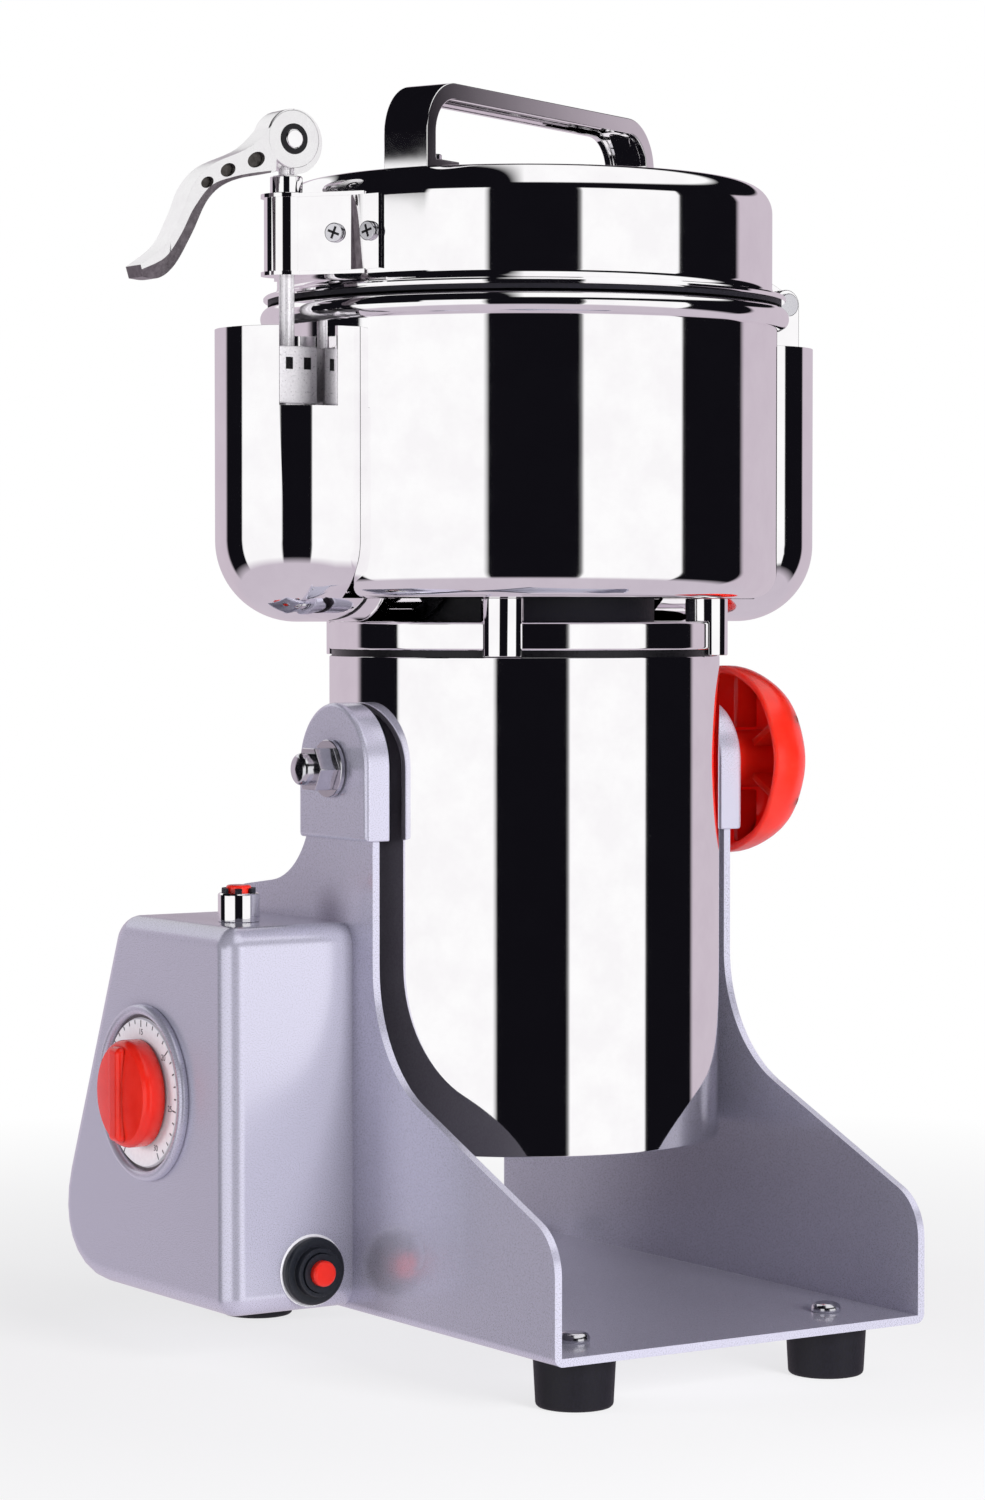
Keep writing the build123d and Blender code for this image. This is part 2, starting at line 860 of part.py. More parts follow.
shaft_seat = shaft_radius + seat_gap
with BuildPart() as armature:
    extrude(ring(level(armature_low), armature_radius, shaft_seat), amount=armature_top - armature_low)
    extrude(
        ring(level(commutator_low), commutator_radius, shaft_seat),
        amount=armature_low - commutator_low,
    )
pieces["armature"] = armature

with BuildPart() as cooling_fan:
    extrude(ring(level(fan_low), fan_radius, shaft_seat), amount=fan_disc)
    extrude(ring(level(fan_low), fan_hub_radius, shaft_seat), amount=fan_height)
    with BuildSketch(level(fan_low)):
        with PolarLocations((fan_radius + fan_hub_radius) / 2 - fan_vane, fan_vane_count):
            Rectangle(fan_radius - fan_hub_radius, fan_vane)
    extrude(amount=fan_height)
pieces["cooling_fan"] = cooling_fan

# Blades, clamped on the shaft with spacers and a nut
blade_outline_shares = ((0, 1), (0.62, 1), (1, 0.1), (0.93, -1), (0, -1))

for name, low, turn in zip(blade_names, blade_levels, blade_turns):
    with BuildPart() as blade:
        blade_plane = level(low).rotated((0, 0, turn))
        extrude(ring(blade_plane, blade_hub_radius, shaft_seat), amount=blade_thick)
        for end in (1, -1):
            with BuildSketch(blade_plane) as blade_half:
                with BuildLine():
                    Polyline(
                        *[
                            (end * along * blade_length, end * across * blade_width / 2)
                            for along, across in blade_outline_shares
                        ],
                        close=True,
                    )
                make_face()
                fillet(blade_half.vertices().sort_by(Axis.X)[-2 if end > 0 else 1], blade_tip_width / 4)
                Circle(blade_hub_radius - seat_gap, mode=Mode.SUBTRACT)
            extrude(amount=blade_thick)
    pieces[name] = blade

seal_top = bowl_low + bowl_wall + seal_rise
with BuildPart() as blade_spacers:
    spacer_ends = [seal_top + clear_gap]
    for low in blade_levels:
        extrude(
            ring(level(spacer_ends[-1]), blade_hub_radius - blade_thick, shaft_seat),
            amount=low - seat_gap - spacer_ends[-1],
        )
        spacer_ends.append(low + blade_thick + seat_gap)
pieces["blade_spacers"] = blade_spacers

with BuildPart() as blade_nut:
    extrude(hexagon(level(spacer_ends[-1]), blade_nut_flats), amount=blade_nut_height + shaft_radius / 2)
    extrude(ring(level(spacer_ends[-1]), shaft_seat), amount=blade_nut_height, mode=Mode.SUBTRACT)
pieces["blade_nut"] = blade_nut

# Pivot studs, with their bosses on the tube
lock_hub_start = cap_outer + clear_gap
stud_ends = {
    "left": cap_outer + clear_gap + washer_thick + nut_thick + stud_tail,
    "right": lock_outer - lock_web,
}
for name, sign in sides.items():
    with BuildPart() as stud:
        boss_end = base_half_width - sheet - clear_gap
        extrude(
            ring(side(sign * tube_bore), boss_radius, centre=pivot_place),
            amount=sign * (boss_end - tube_bore),
        )
        extrude(
            ring(level(0), tube_radius + seat_gap),
            amount=tube_top,
            mode=Mode.SUBTRACT,
        )
        extrude(
            ring(side(sign * (boss_end - clear_gap)), stud_radius, centre=pivot_place),
            amount=sign * (stud_ends[name] - boss_end + clear_gap),
        )
    pieces[f"pivot_stud_{name}"] = stud

with BuildPart() as stud_washer:
    extrude(
        ring(side(-cap_outer - clear_gap), washer_radius, stud_radius + seat_gap, pivot_place),
        amount=-washer_thick,
    )
pieces["stud_washer"] = stud_washer

with BuildPart() as stud_nut:
    nut_start = -cap_outer - clear_gap - washer_thick - seat_gap
    extrude(hexagon(side(nut_start), nut_flats, pivot_place), amount=seat_gap - nut_thick)
    extrude(
        ring(side(nut_start + overrun), stud_radius + seat_gap, centre=pivot_place),
        amount=-nut_thick - 2 * overrun,
        mode=Mode.SUBTRACT,
    )
pieces["stud_nut"] = stud_nut

# Bowl and its carriers
pillar_places = [
    (sx * pillar_circle * sin(radians(pillar_angle)), sy * pillar_circle * cos(radians(pillar_angle)))
    for sx in (-1, 1)
    for sy in (-1, 1)
]
with BuildPart() as bowl_pillars:
    pillar_low = top_cap_top - pillar_apron
    for place in pillar_places:
        extrude(
            ring(level(pillar_low), pillar_radius, centre=place),
            amount=bowl_low - pillar_low - seat_gap,
        )
    extrude(
        ring(level(pillar_low - overrun), tube_radius + seat_gap),
        amount=pillar_apron + overrun + seat_gap,
        mode=Mode.SUBTRACT,
    )
pieces["bowl_pillars"] = bowl_pillars

with BuildPart() as neck_gasket:
    gasket_radius = arm_inner_end - clear_gap
    extrude(
        ring(level(top_cap_top + seat_gap), gasket_radius, gasket_radius - gasket_width),
        amount=bowl_low - top_cap_top - 2 * seat_gap,
    )
pieces["neck_gasket"] = neck_gasket

with BuildPart() as bowl:
    extrude(ring(level(bowl_low), bowl_radius), amount=bowl_top - bowl_low)
    fillet(bowl.faces().sort_by(Axis.Z)[0].edges(), bowl_corner)
    offset(amount=-bowl_wall, openings=bowl.faces().sort_by(Axis.Z)[-1])
    with BuildSketch(front(0)):
        with Locations((bead_radius - bead_half, bowl_top - bead_half)):
            Circle(bead_half)
        with Locations((bowl_bore / 2, bowl_top - bead_half)):
            Rectangle(bowl_bore, 2 * bead_half, mode=Mode.SUBTRACT)
    revolve(axis=motor_axis)
    extrude(
        ring(level(bowl_low - overrun), seal_radius + seat_gap),
        amount=bowl_wall + 2 * overrun,
        mode=Mode.SUBTRACT,
    )
pieces["bowl"] = bowl

with BuildPart() as shaft_seal:
    seal_bore = shaft_radius + run_gap
    bowl_floor = bowl_low + bowl_wall + seat_gap
    seal_low = bowl_low - seal_drop
    extrude(ring(level(seal_low), seal_radius, seal_bore), amount=bowl_floor - seal_low)
    extrude(ring(level(bowl_floor), seal_flange_radius, seal_bore), amount=seal_rise - seat_gap)
pieces["shaft_seal"] = shaft_seal


def arm_shell(sign, radius):
    """Solid half-round arm of one radius: upright, ball-ended and turned in under the bowl."""
    with BuildPart() as shape:
        extrude(
            ring(level(arm_level), radius, centre=(sign * arm_centre, 0)),
            amount=arm_top - arm_level,
        )
        web_middle = (sign * (arm_centre + arm_inner_end) / 2, 0)
        extrude(
            bar(level(arm_level), arm_centre - arm_inner_end, 2 * radius, web_middle),
            amount=arm_top - arm_level,
        )
        with Locations((axis_x + sign * arm_centre, axis_y, arm_level)):
            Sphere(radius)
        extrude(
            ring(side(sign * arm_inner_end), radius, centre=(0, arm_level)),
            amount=sign * (arm_centre - arm_inner_end),
        )
    return shape.part


for name, sign in sides.items():
    with BuildPart() as bowl_arm:
        add(arm_shell(sign, arm_radius))
        add(arm_shell(sign, arm_radius - arm_wall), mode=Mode.SUBTRACT)
        extrude(
            ring(level(bowl_low - seat_gap), bowl_radius + seat_gap),
            amount=arm_top,
            mode=Mode.SUBTRACT,
        )
        extrude(
            ring(level(arm_top), 2 * arm_centre),
            amount=arm_radius,
            mode=Mode.SUBTRACT,
        )
        if name == "left":
            extrude(
                bar(
                    level(notch_low),
                    notch_outer - notch_inner,
                    notch_depth,
                    (-(notch_outer + notch_inner) / 2, notch_depth / 2 - arm_radius - overrun),
                ),
                amount=arm_top,
                mode=Mode.SUBTRACT,
            )
    pieces[f"bowl_arm_{name}"] = bowl_arm


def arm_shelf_face(sign, z):
    """Plate that fills the hollow of an arm, from the bowl's wall to the arm's nose."""
    reach = arm_radius - arm_wall - seat_gap
    with BuildSketch(level(z)) as face:
        with Locations((sign * arm_centre, 0)):
            Circle(reach)
        with Locations((sign * (arm_centre - arm_radius / 2), 0)):
            Rectangle(arm_radius, 2 * reach)
        Circle(bowl_radius + seat_gap, mode=Mode.SUBTRACT)
    return face.sketch


# Keeper that the clamp rod's block drops into
with BuildPart() as clamp_keeper:
    keeper_floor = block_low - shelf_plate - 2 * clear_gap
    extrude(arm_shelf_face(-1, keeper_floor - shelf_plate), amount=shelf_plate)
    for end in (1, -1):
        extrude(
            bar(
                level(keeper_floor),
                block_outer - block_inner,
                cheek,
                (-(block_outer + block_inner) / 2, end * (block_half + clear_gap + cheek / 2)),
            ),
            amount=block_top - keeper_floor,
        )
pieces["clamp_keeper"] = clamp_keeper

# Lid hinge
hinge_place = (hinge_x, hinge_height)
cheek_middle = hinge_tongue_half + clear_gap + cheek / 2
with BuildPart() as hinge_lug:
    extrude(arm_shelf_face(1, keeper_floor - shelf_plate), amount=shelf_plate)
    for end in (1, -1):
        with BuildSketch(front(end * cheek_middle)):
            with Locations((hinge_x, (hinge_height + keeper_floor) / 2)):
                Rectangle(2 * hinge_knuckle_radius, hinge_height - keeper_floor)
            with Locations(hinge_place):
                Circle(hinge_knuckle_radius)
                Circle(hinge_pin_radius + seat_gap, mode=Mode.SUBTRACT)
        extrude(amount=cheek / 2, both=True)
pieces["hinge_lug"] = hinge_lug

with BuildPart() as hinge_pin:
    pin_half = cheek_middle + cheek
    extrude(ring(front(0), hinge_pin_radius, centre=hinge_place), amount=pin_half, both=True)
    for end in (1, -1):
        head_plane = front(end * (cheek_middle + cheek / 2 + seat_gap))
        extrude(
            ring(head_plane, hinge_pin_radius + cheek / 2, centre=hinge_place),
            amount=-end * cheek / 2,
        )
pieces["hinge_pin"] = hinge_pin


def wall_band(direction, half_angle, low, thick):
    """Band that lies on the lid's wall, centred on a direction."""
    inner = lid_radius + seat_gap
    with BuildSketch(level(low)) as face:
        Circle(inner + thick)
        Circle(inner, mode=Mode.SUBTRACT)
        far = 2 * lid_radius
        with BuildLine():
            Polyline(
                (0, 0),
                (far * cos(radians(direction - half_angle)), far * sin(radians(direction - half_angle))),
                (far * cos(radians(direction + half_angle)), far * sin(radians(direction + half_angle))),
                close=True,
            )
        make_face(mode=Mode.INTERSECT)
    return face.sketch


with BuildPart() as hinge_leaf:
    extrude(
        wall_band(0, hinge_leaf_angle, hinge_leaf_low, leaf_thick),
        amount=hinge_leaf_top - hinge_leaf_low,
    )
    with BuildSketch(front(0)):
        with BuildLine():
            Polyline(
                (lid_radius, hinge_leaf_low),
                (hinge_x, hinge_height - hinge_knuckle_radius),
                (hinge_x, hinge_height + hinge_knuckle_radius),
                (lid_radius, hinge_leaf_low + 2 * hinge_knuckle_radius),
                close=True,
            )
        make_face()
        with Locations(hinge_place):
            Circle(hinge_knuckle_radius)
            Circle(hinge_pin_radius + run_gap, mode=Mode.SUBTRACT)
    extrude(amount=hinge_tongue_half, both=True)
    extrude(
        ring(level(lid_low), lid_radius + seat_gap),
        amount=lid_top,
        mode=Mode.SUBTRACT,
    )
pieces["hinge_leaf"] = hinge_leaf

# Handle, a strap with turned-down edges and a tab under each leg
handle_foot = lid_top + seat_gap


def handle_level(z):
    """Horizontal plane at a height, with the handle along its +X."""
    return level(z).rotated((0, 0, handle_turn))


def strap_face(y, thick):
    """Outline of the handle's strap seen square to its length."""
    upright = Plane(handle_level(0).origin, handle_level(0).x_dir, -handle_level(0).y_dir)
    with BuildSketch(upright.offset(-y)) as face:
        with BuildLine():
            FilletPolyline(
                (-handle_half, handle_foot),
                (-handle_half, handle_top),
                (handle_half, handle_top),
                (handle_half, handle_foot),
                radius=handle_round,
            )
            offset(amount=thick, side=Side.RIGHT)
        make_face()
    return face.sketch


handle_tab_x = handle_half - handle_tab + handle_screw_inset
handle_screw_places = [(sign * handle_tab_x, 0) for sign in sides.values()]
with BuildPart() as handle:
    extrude(strap_face(0, handle_strap), amount=handle_width / 2, both=True)
    for end in (1, -1):
        extrude(
            strap_face(end * handle_width / 2, handle_strap + handle_lip_drop),
            amount=end * handle_lip,
        )
    for sign in sides.values():
        tab_middle = (sign * (handle_half - handle_tab / 2), 0)
        extrude(bar(handle_level(handle_foot), handle_tab, handle_width, tab_middle), amount=handle_strap)
    for place in handle_screw_places:
        extrude(
            ring(handle_level(handle_foot - overrun), handle_screw_radius + seat_gap, centre=place),
            amount=handle_strap + 2 * overrun,
            mode=Mode.SUBTRACT,
        )
    extrude(
        bar(level(handle_foot), 2 * lid_radius, 2 * lid_radius),
        amount=handle_foot - lid_top - lid_round,
        mode=Mode.SUBTRACT,
    )
pieces["handle"] = handle

# Lock knob, a hollow ribbed handwheel on the right stud
with BuildPart() as lock_knob:
    extrude(ring(side(lock_outer), lock_radius, centre=pivot_place), amount=lock_inner - lock_outer)
    with BuildSketch(side(lock_inner - overrun)):
        with Locations(pivot_place):
            with PolarLocations(lock_radius + lock_scallop_radius - lock_scallop_depth, lock_scallop_count):
                Circle(lock_scallop_radius)
    extrude(amount=lock_outer - lock_inner + 2 * overrun, mode=Mode.SUBTRACT)
    fillet(lock_knob.faces().sort_by(Axis.X)[-1].edges(), lock_edge)
    extrude(
        ring(side(lock_inner - overrun), lock_radius - lock_wall - lock_scallop_depth, centre=pivot_place),
        amount=lock_outer - lock_web - lock_inner + overrun,
        mode=Mode.SUBTRACT,
    )
    extrude(
        ring(side(lock_hub_start), lock_hub_radius, centre=pivot_place),
        amount=lock_outer - lock_web - lock_hub_start,
    )
    with BuildSketch(side(lock_inner + lock_rib)):
        with Locations(pivot_place):
            with PolarLocations((lock_radius + lock_hub_radius - lock_wall - lock_rib) / 2, lock_rib_count):
                Rectangle(lock_radius - lock_hub_radius - lock_wall, lock_rib)
    extrude(amount=lock_outer - lock_web - lock_inner - lock_rib)
    extrude(
        ring(side(lock_hub_start - overrun), stud_radius + seat_gap, centre=pivot_place),
        amount=lock_outer - lock_web - lock_hub_start + overrun + seat_gap,
        mode=Mode.SUBTRACT,
    )
pieces["lock_knob"] = lock_knob

# Clamp bracket on the lid: a round nose for the rod, with wings that reach back to the lid's wall
wing_x = sqrt(lid_radius**2 - bracket_wing**2)


def bracket_face(z, grow):
    """Plan of the clamp bracket, grown all round by a margin."""
    with BuildSketch(level(z)) as face:
        with Locations((-rod_x, 0)):
            Circle(bracket_nose + grow)
        with BuildLine():
            Polyline(
                (-rod_x, -bracket_nose - grow),
                (-wing_x, -bracket_wing - grow),
                (-wing_x + bracket_nose, 0),
                (-wing_x, bracket_wing + grow),
                (-rod_x, bracket_nose + grow),
                close=True,
            )
        make_face()
        Circle(lid_radius + seat_gap, mode=Mode.SUBTRACT)
        with Locations((-rod_x, 0)):
            Circle(rod_radius + run_gap, mode=Mode.SUBTRACT)
    return face.sketch


bracket_middle = (bracket_bottom + bracket_top) / 2
wing_run = Vector(rod_x - wing_x, bracket_nose - bracket_wing, 0)
wing_share = 0.58
screw_planes = []
for end in (1, -1):
    wing_foot = Vector(-rod_x, -end * bracket_nose, 0)
    wing_point = wing_foot + Vector(wing_run.X, end * wing_run.Y, 0) * wing_share
    wing_normal = Vector(wing_run.Y, -end * wing_run.X, 0).normalized()
    screw_planes.append(
        Plane(
            origin=(axis_x + wing_point.X, axis_y + wing_point.Y, bracket_middle),
            x_dir=(0, 0, 1),
            z_dir=wing_normal.to_tuple(),
        )
    )
    turn = radians(180 + end * bracket_screw_angle)
    leaf_radius = lid_radius + seat_gap + leaf_thick
    screw_planes.append(
        Plane(
            origin=(axis_x + leaf_radius * cos(turn), axis_y + leaf_radius * sin(turn), bracket_middle),
            x_dir=(0, 0, 1),
            z_dir=(cos(turn), sin(turn), 0),
        )
    )

with BuildPart() as clamp_bracket:
    extrude(bracket_face(bracket_bottom, 0), amount=bracket_top - bracket_bottom)
    for low in (bracket_bottom, bracket_top - bracket_lip):
        extrude(bracket_face(low, bracket_lip_reach), amount=bracket_lip)
    leaf_low = bracket_bottom + bracket_lip
    extrude(wall_band(180, leaf_angle, leaf_low, leaf_thick), amount=bracket_top - bracket_lip - leaf_low)
    for plane in screw_planes:
        extrude(
            ring(plane.offset(overrun), bracket_screw_radius + seat_gap),
            amount=-overrun - bracket_screw_length,
            mode=Mode.SUBTRACT,
        )
pieces["clamp_bracket"] = clamp_bracket

with BuildPart() as bracket_screws:
    for plane in screw_planes:
        extrude(ring(plane.offset(seat_gap), bracket_screw_head_radius), amount=bracket_screw_head)
        extrude(ring(plane.offset(seat_gap), bracket_screw_radius), amount=-bracket_screw_length)
pieces["bracket_screws"] = bracket_screws

# Lid
with BuildPart() as lid:
    extrude(ring(level(lid_low), lid_radius), amount=lid_top - lid_low)
    fillet(lid.faces().sort_by(Axis.Z)[-1].edges(), lid_round)
    offset(amount=-lid_wall, openings=lid.faces().sort_by(Axis.Z)[0])
    flange_top = lid_low + lid_flange_thick
    with BuildSketch(front(0)):
        with BuildLine():
            Polyline(
                (lid_radius - lid_wall / 2, lid_low),
                (lid_flange_radius, lid_low),
                (lid_flange_radius, flange_top),
                (lid_radius + lid_flare / 2, flange_top),
                (lid_radius, lid_flare_top),
                (lid_radius - lid_wall / 2, lid_flare_top),
                close=True,
            )
        make_face()
    revolve(axis=motor_axis)
    for place in handle_screw_places:
        extrude(
            ring(handle_level(lid_top + overrun), handle_screw_radius + seat_gap, centre=place),
            amount=-lid_wall - 2 * overrun,
            mode=Mode.SUBTRACT,
        )
    for plane in screw_planes:
        extrude(
            ring(plane.offset(overrun), bracket_screw_radius + seat_gap),
            amount=-overrun - bracket_screw_length,
            mode=Mode.SUBTRACT,
        )
pieces["lid"] = lid

with BuildPart() as lid_seal:
    extrude(ring(level(lid_seal_low), lid_seal_outer, lid_seal_inner), amount=lid_seal_thick)
pieces["lid_seal"] = lid_seal

with BuildPart() as handle_screws:
    head_low = handle_foot + handle_strap + seat_gap
    nut_top = lid_top - lid_wall - seat_gap
    for place in handle_screw_places:
        head_face = ring(handle_level(head_low), handle_screw_head_radius, centre=place)
        shank_face = ring(handle_level(head_low), handle_screw_radius, centre=place)
        nut_face = ring(handle_level(nut_top), handle_screw_head_radius, centre=place)
        extrude(head_face, amount=handle_screw_head)
        extrude(shank_face, amount=nut_top - head_low)
        extrude(nut_face, amount=-handle_screw_nut)
pieces["handle_screws"] = handle_screws

# Clamp rod with its eye and its end block, and the collar that the cam presses on
rod_place = (-rod_x, 0)
with BuildPart() as clamp_collar:
    extrude(
        ring(level(bracket_top + seat_gap), collar_radius, rod_radius + run_gap, rod_place),
        amount=collar_height,
    )
pieces["clamp_collar"] = clamp_collar

cam_pin_place = (-rod_x, cam_pin_height)
block_middle = (-(block_outer + block_inner) / 2, 0)
with BuildPart() as clamp_rod:
    extrude(ring(level(block_low), rod_radius, centre=rod_place), amount=cam_pin_height - block_low)
    extrude(
        bar(level(block_low), block_outer - block_inner, 2 * block_half, block_middle),
        amount=block_top - block_low,
    )
    extrude(ring(front(0), rod_eye_radius, centre=cam_pin_place), amount=rod_eye_thick / 2, both=True)
    extrude(
        ring(front(0), cam_pin_radius + run_gap, centre=cam_pin_place),
        amount=rod_eye_thick,
        both=True,
        mode=Mode.SUBTRACT,
    )
    block_window = (block_middle[0], block_top - 2 * block_hole)
    extrude(
        bar(front(0), block_hole, block_hole, block_window),
        amount=2 * block_half,
        both=True,
        mode=Mode.SUBTRACT,
    )
pieces["clamp_rod"] = clamp_rod

# Cam lever: an eccentric head with a slot for the rod's eye, and a curved arm with three slots
upper_shares = (
    (0.1, -0.15),
    (0.28, 0.07),
    (0.54, 0.22),
    (0.66, 0.37),
    (0.73, 0.56),
    (0.83, 0.78),
    (1, 0.94),
)
lower_shares = (
    (0.98, 1.02),
    (0.86, 1.02),
    (0.75, 0.92),
    (0.64, 0.7),
    (0.54, 0.45),
    (0.4, 0.32),
    (0.12, 0.24),
)
lever_slot_shares = ((0.25, 0.165, 1), (0.435, 0.25, 0.86), (0.57, 0.345, 0.72))


def lever_point(shares):
    """Point on the lever from its shares of the reach and of the drop."""
    return (-rod_x - shares[0] * lever_run, cam_pin_height - shares[1] * lever_drop)


with BuildPart() as cam_lever:
    with BuildSketch(front(0)):
        with BuildLine():
            Spline(*[lever_point(shares) for shares in upper_shares])
            Line(lever_point(upper_shares[-1]), lever_point(lower_shares[0]))
            Spline(*[lever_point(shares) for shares in lower_shares])
            Line(lever_point(lower_shares[-1]), lever_point(upper_shares[0]))
        make_face()
        with Locations((-rod_x, cam_pin_height - cam_offset)):
            Circle(cam_radius)
        with Locations(cam_pin_place):
            Circle(cam_pin_radius + seat_gap, mode=Mode.SUBTRACT)
        for along, down, size in lever_slot_shares:
            with Locations(lever_point((along, down))):
                SlotOverall(size * lever_slot, size * lever_slot_width, lever_slot_turn, mode=Mode.SUBTRACT)
    extrude(amount=lever_thick / 2, both=True)
    eye_slot = rod_eye_thick / 2 + clear_gap
    eye_reach = rod_eye_radius + 2 * clear_gap
    with BuildSketch(front(0)):
        with Locations(cam_pin_place):
            Circle(eye_reach)
            Rectangle(2 * cam_radius, 2 * cam_radius, align=(Align.MIN, Align.MAX))
            Rectangle(2 * cam_radius, eye_reach, align=(Align.MIN, Align.MIN))
            Rectangle(eye_reach, 2 * cam_radius, align=(Align.MAX, Align.MAX))
    extrude(amount=eye_slot, both=True, mode=Mode.SUBTRACT)
pieces["cam_lever"] = cam_lever

with BuildPart() as cam_pin:
    extrude(
        ring(front(0), cam_pin_radius, centre=cam_pin_place),
        amount=lever_thick / 2 + cam_pin_proud,
        both=True,
    )
pieces["cam_pin"] = cam_pin

os.makedirs("parts", exist_ok=True)
for name, piece in pieces.items():
    piece.part.label = name
    export_step(piece.part, f"parts/{name}.step")
    print(name, len(piece.part.solids()), round(piece.part.volume, 1))
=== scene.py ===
import json
import math

import bpy
from mathutils import Euler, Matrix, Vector


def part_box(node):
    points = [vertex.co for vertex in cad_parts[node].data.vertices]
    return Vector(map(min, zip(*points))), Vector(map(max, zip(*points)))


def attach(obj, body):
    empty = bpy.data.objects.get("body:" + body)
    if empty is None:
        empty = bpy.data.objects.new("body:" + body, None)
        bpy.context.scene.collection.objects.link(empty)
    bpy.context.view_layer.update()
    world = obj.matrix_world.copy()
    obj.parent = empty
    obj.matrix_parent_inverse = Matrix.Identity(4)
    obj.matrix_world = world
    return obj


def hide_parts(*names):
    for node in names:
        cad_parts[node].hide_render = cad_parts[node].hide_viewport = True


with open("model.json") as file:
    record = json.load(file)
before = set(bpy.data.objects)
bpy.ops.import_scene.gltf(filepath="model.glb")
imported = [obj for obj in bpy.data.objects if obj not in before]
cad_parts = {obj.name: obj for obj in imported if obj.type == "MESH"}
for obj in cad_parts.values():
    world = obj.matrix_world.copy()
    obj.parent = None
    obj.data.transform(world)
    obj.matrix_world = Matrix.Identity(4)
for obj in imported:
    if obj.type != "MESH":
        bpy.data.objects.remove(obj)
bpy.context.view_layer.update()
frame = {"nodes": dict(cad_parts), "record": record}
record = frame["record"]
bodyOf = {node: body for body, nodes in record["behaviour"]["bodies"].items() for node in nodes}
slotOf = {row["node"]: row["material_slot"] for row in record["subparts"]}
mm = 0.001
print("frame loaded with", len(frame["nodes"]), "nodes")


# Colours and nodes
def linear(hexColour):
    channels = [int(hexColour[i:i + 2], 16) / 255 for i in (1, 3, 5)]
    return [c / 12.92 if c <= 0.04045 else ((c + 0.055) / 1.055) ** 2.4 for c in channels] + [1]


def addNode(tree, kind, inputs=None, links=None, **settings):
    node = tree.nodes.new(kind)
    for key, value in settings.items():
        setattr(node, key, value)
    for key, value in (inputs or {}).items():
        node.inputs[key].default_value = value
    for key, (source, output) in (links or {}).items():
        tree.links.new(source.outputs[output], node.inputs[key])
    return node


def setRamp(ramp, stops):  # stops are (position, hex colour), in order
    elements = ramp.color_ramp.elements
    while len(elements) < len(stops):
        elements.new(1)
    for element, (position, hexColour) in zip(elements, stops):
        element.position = position
        element.color = linear(hexColour)


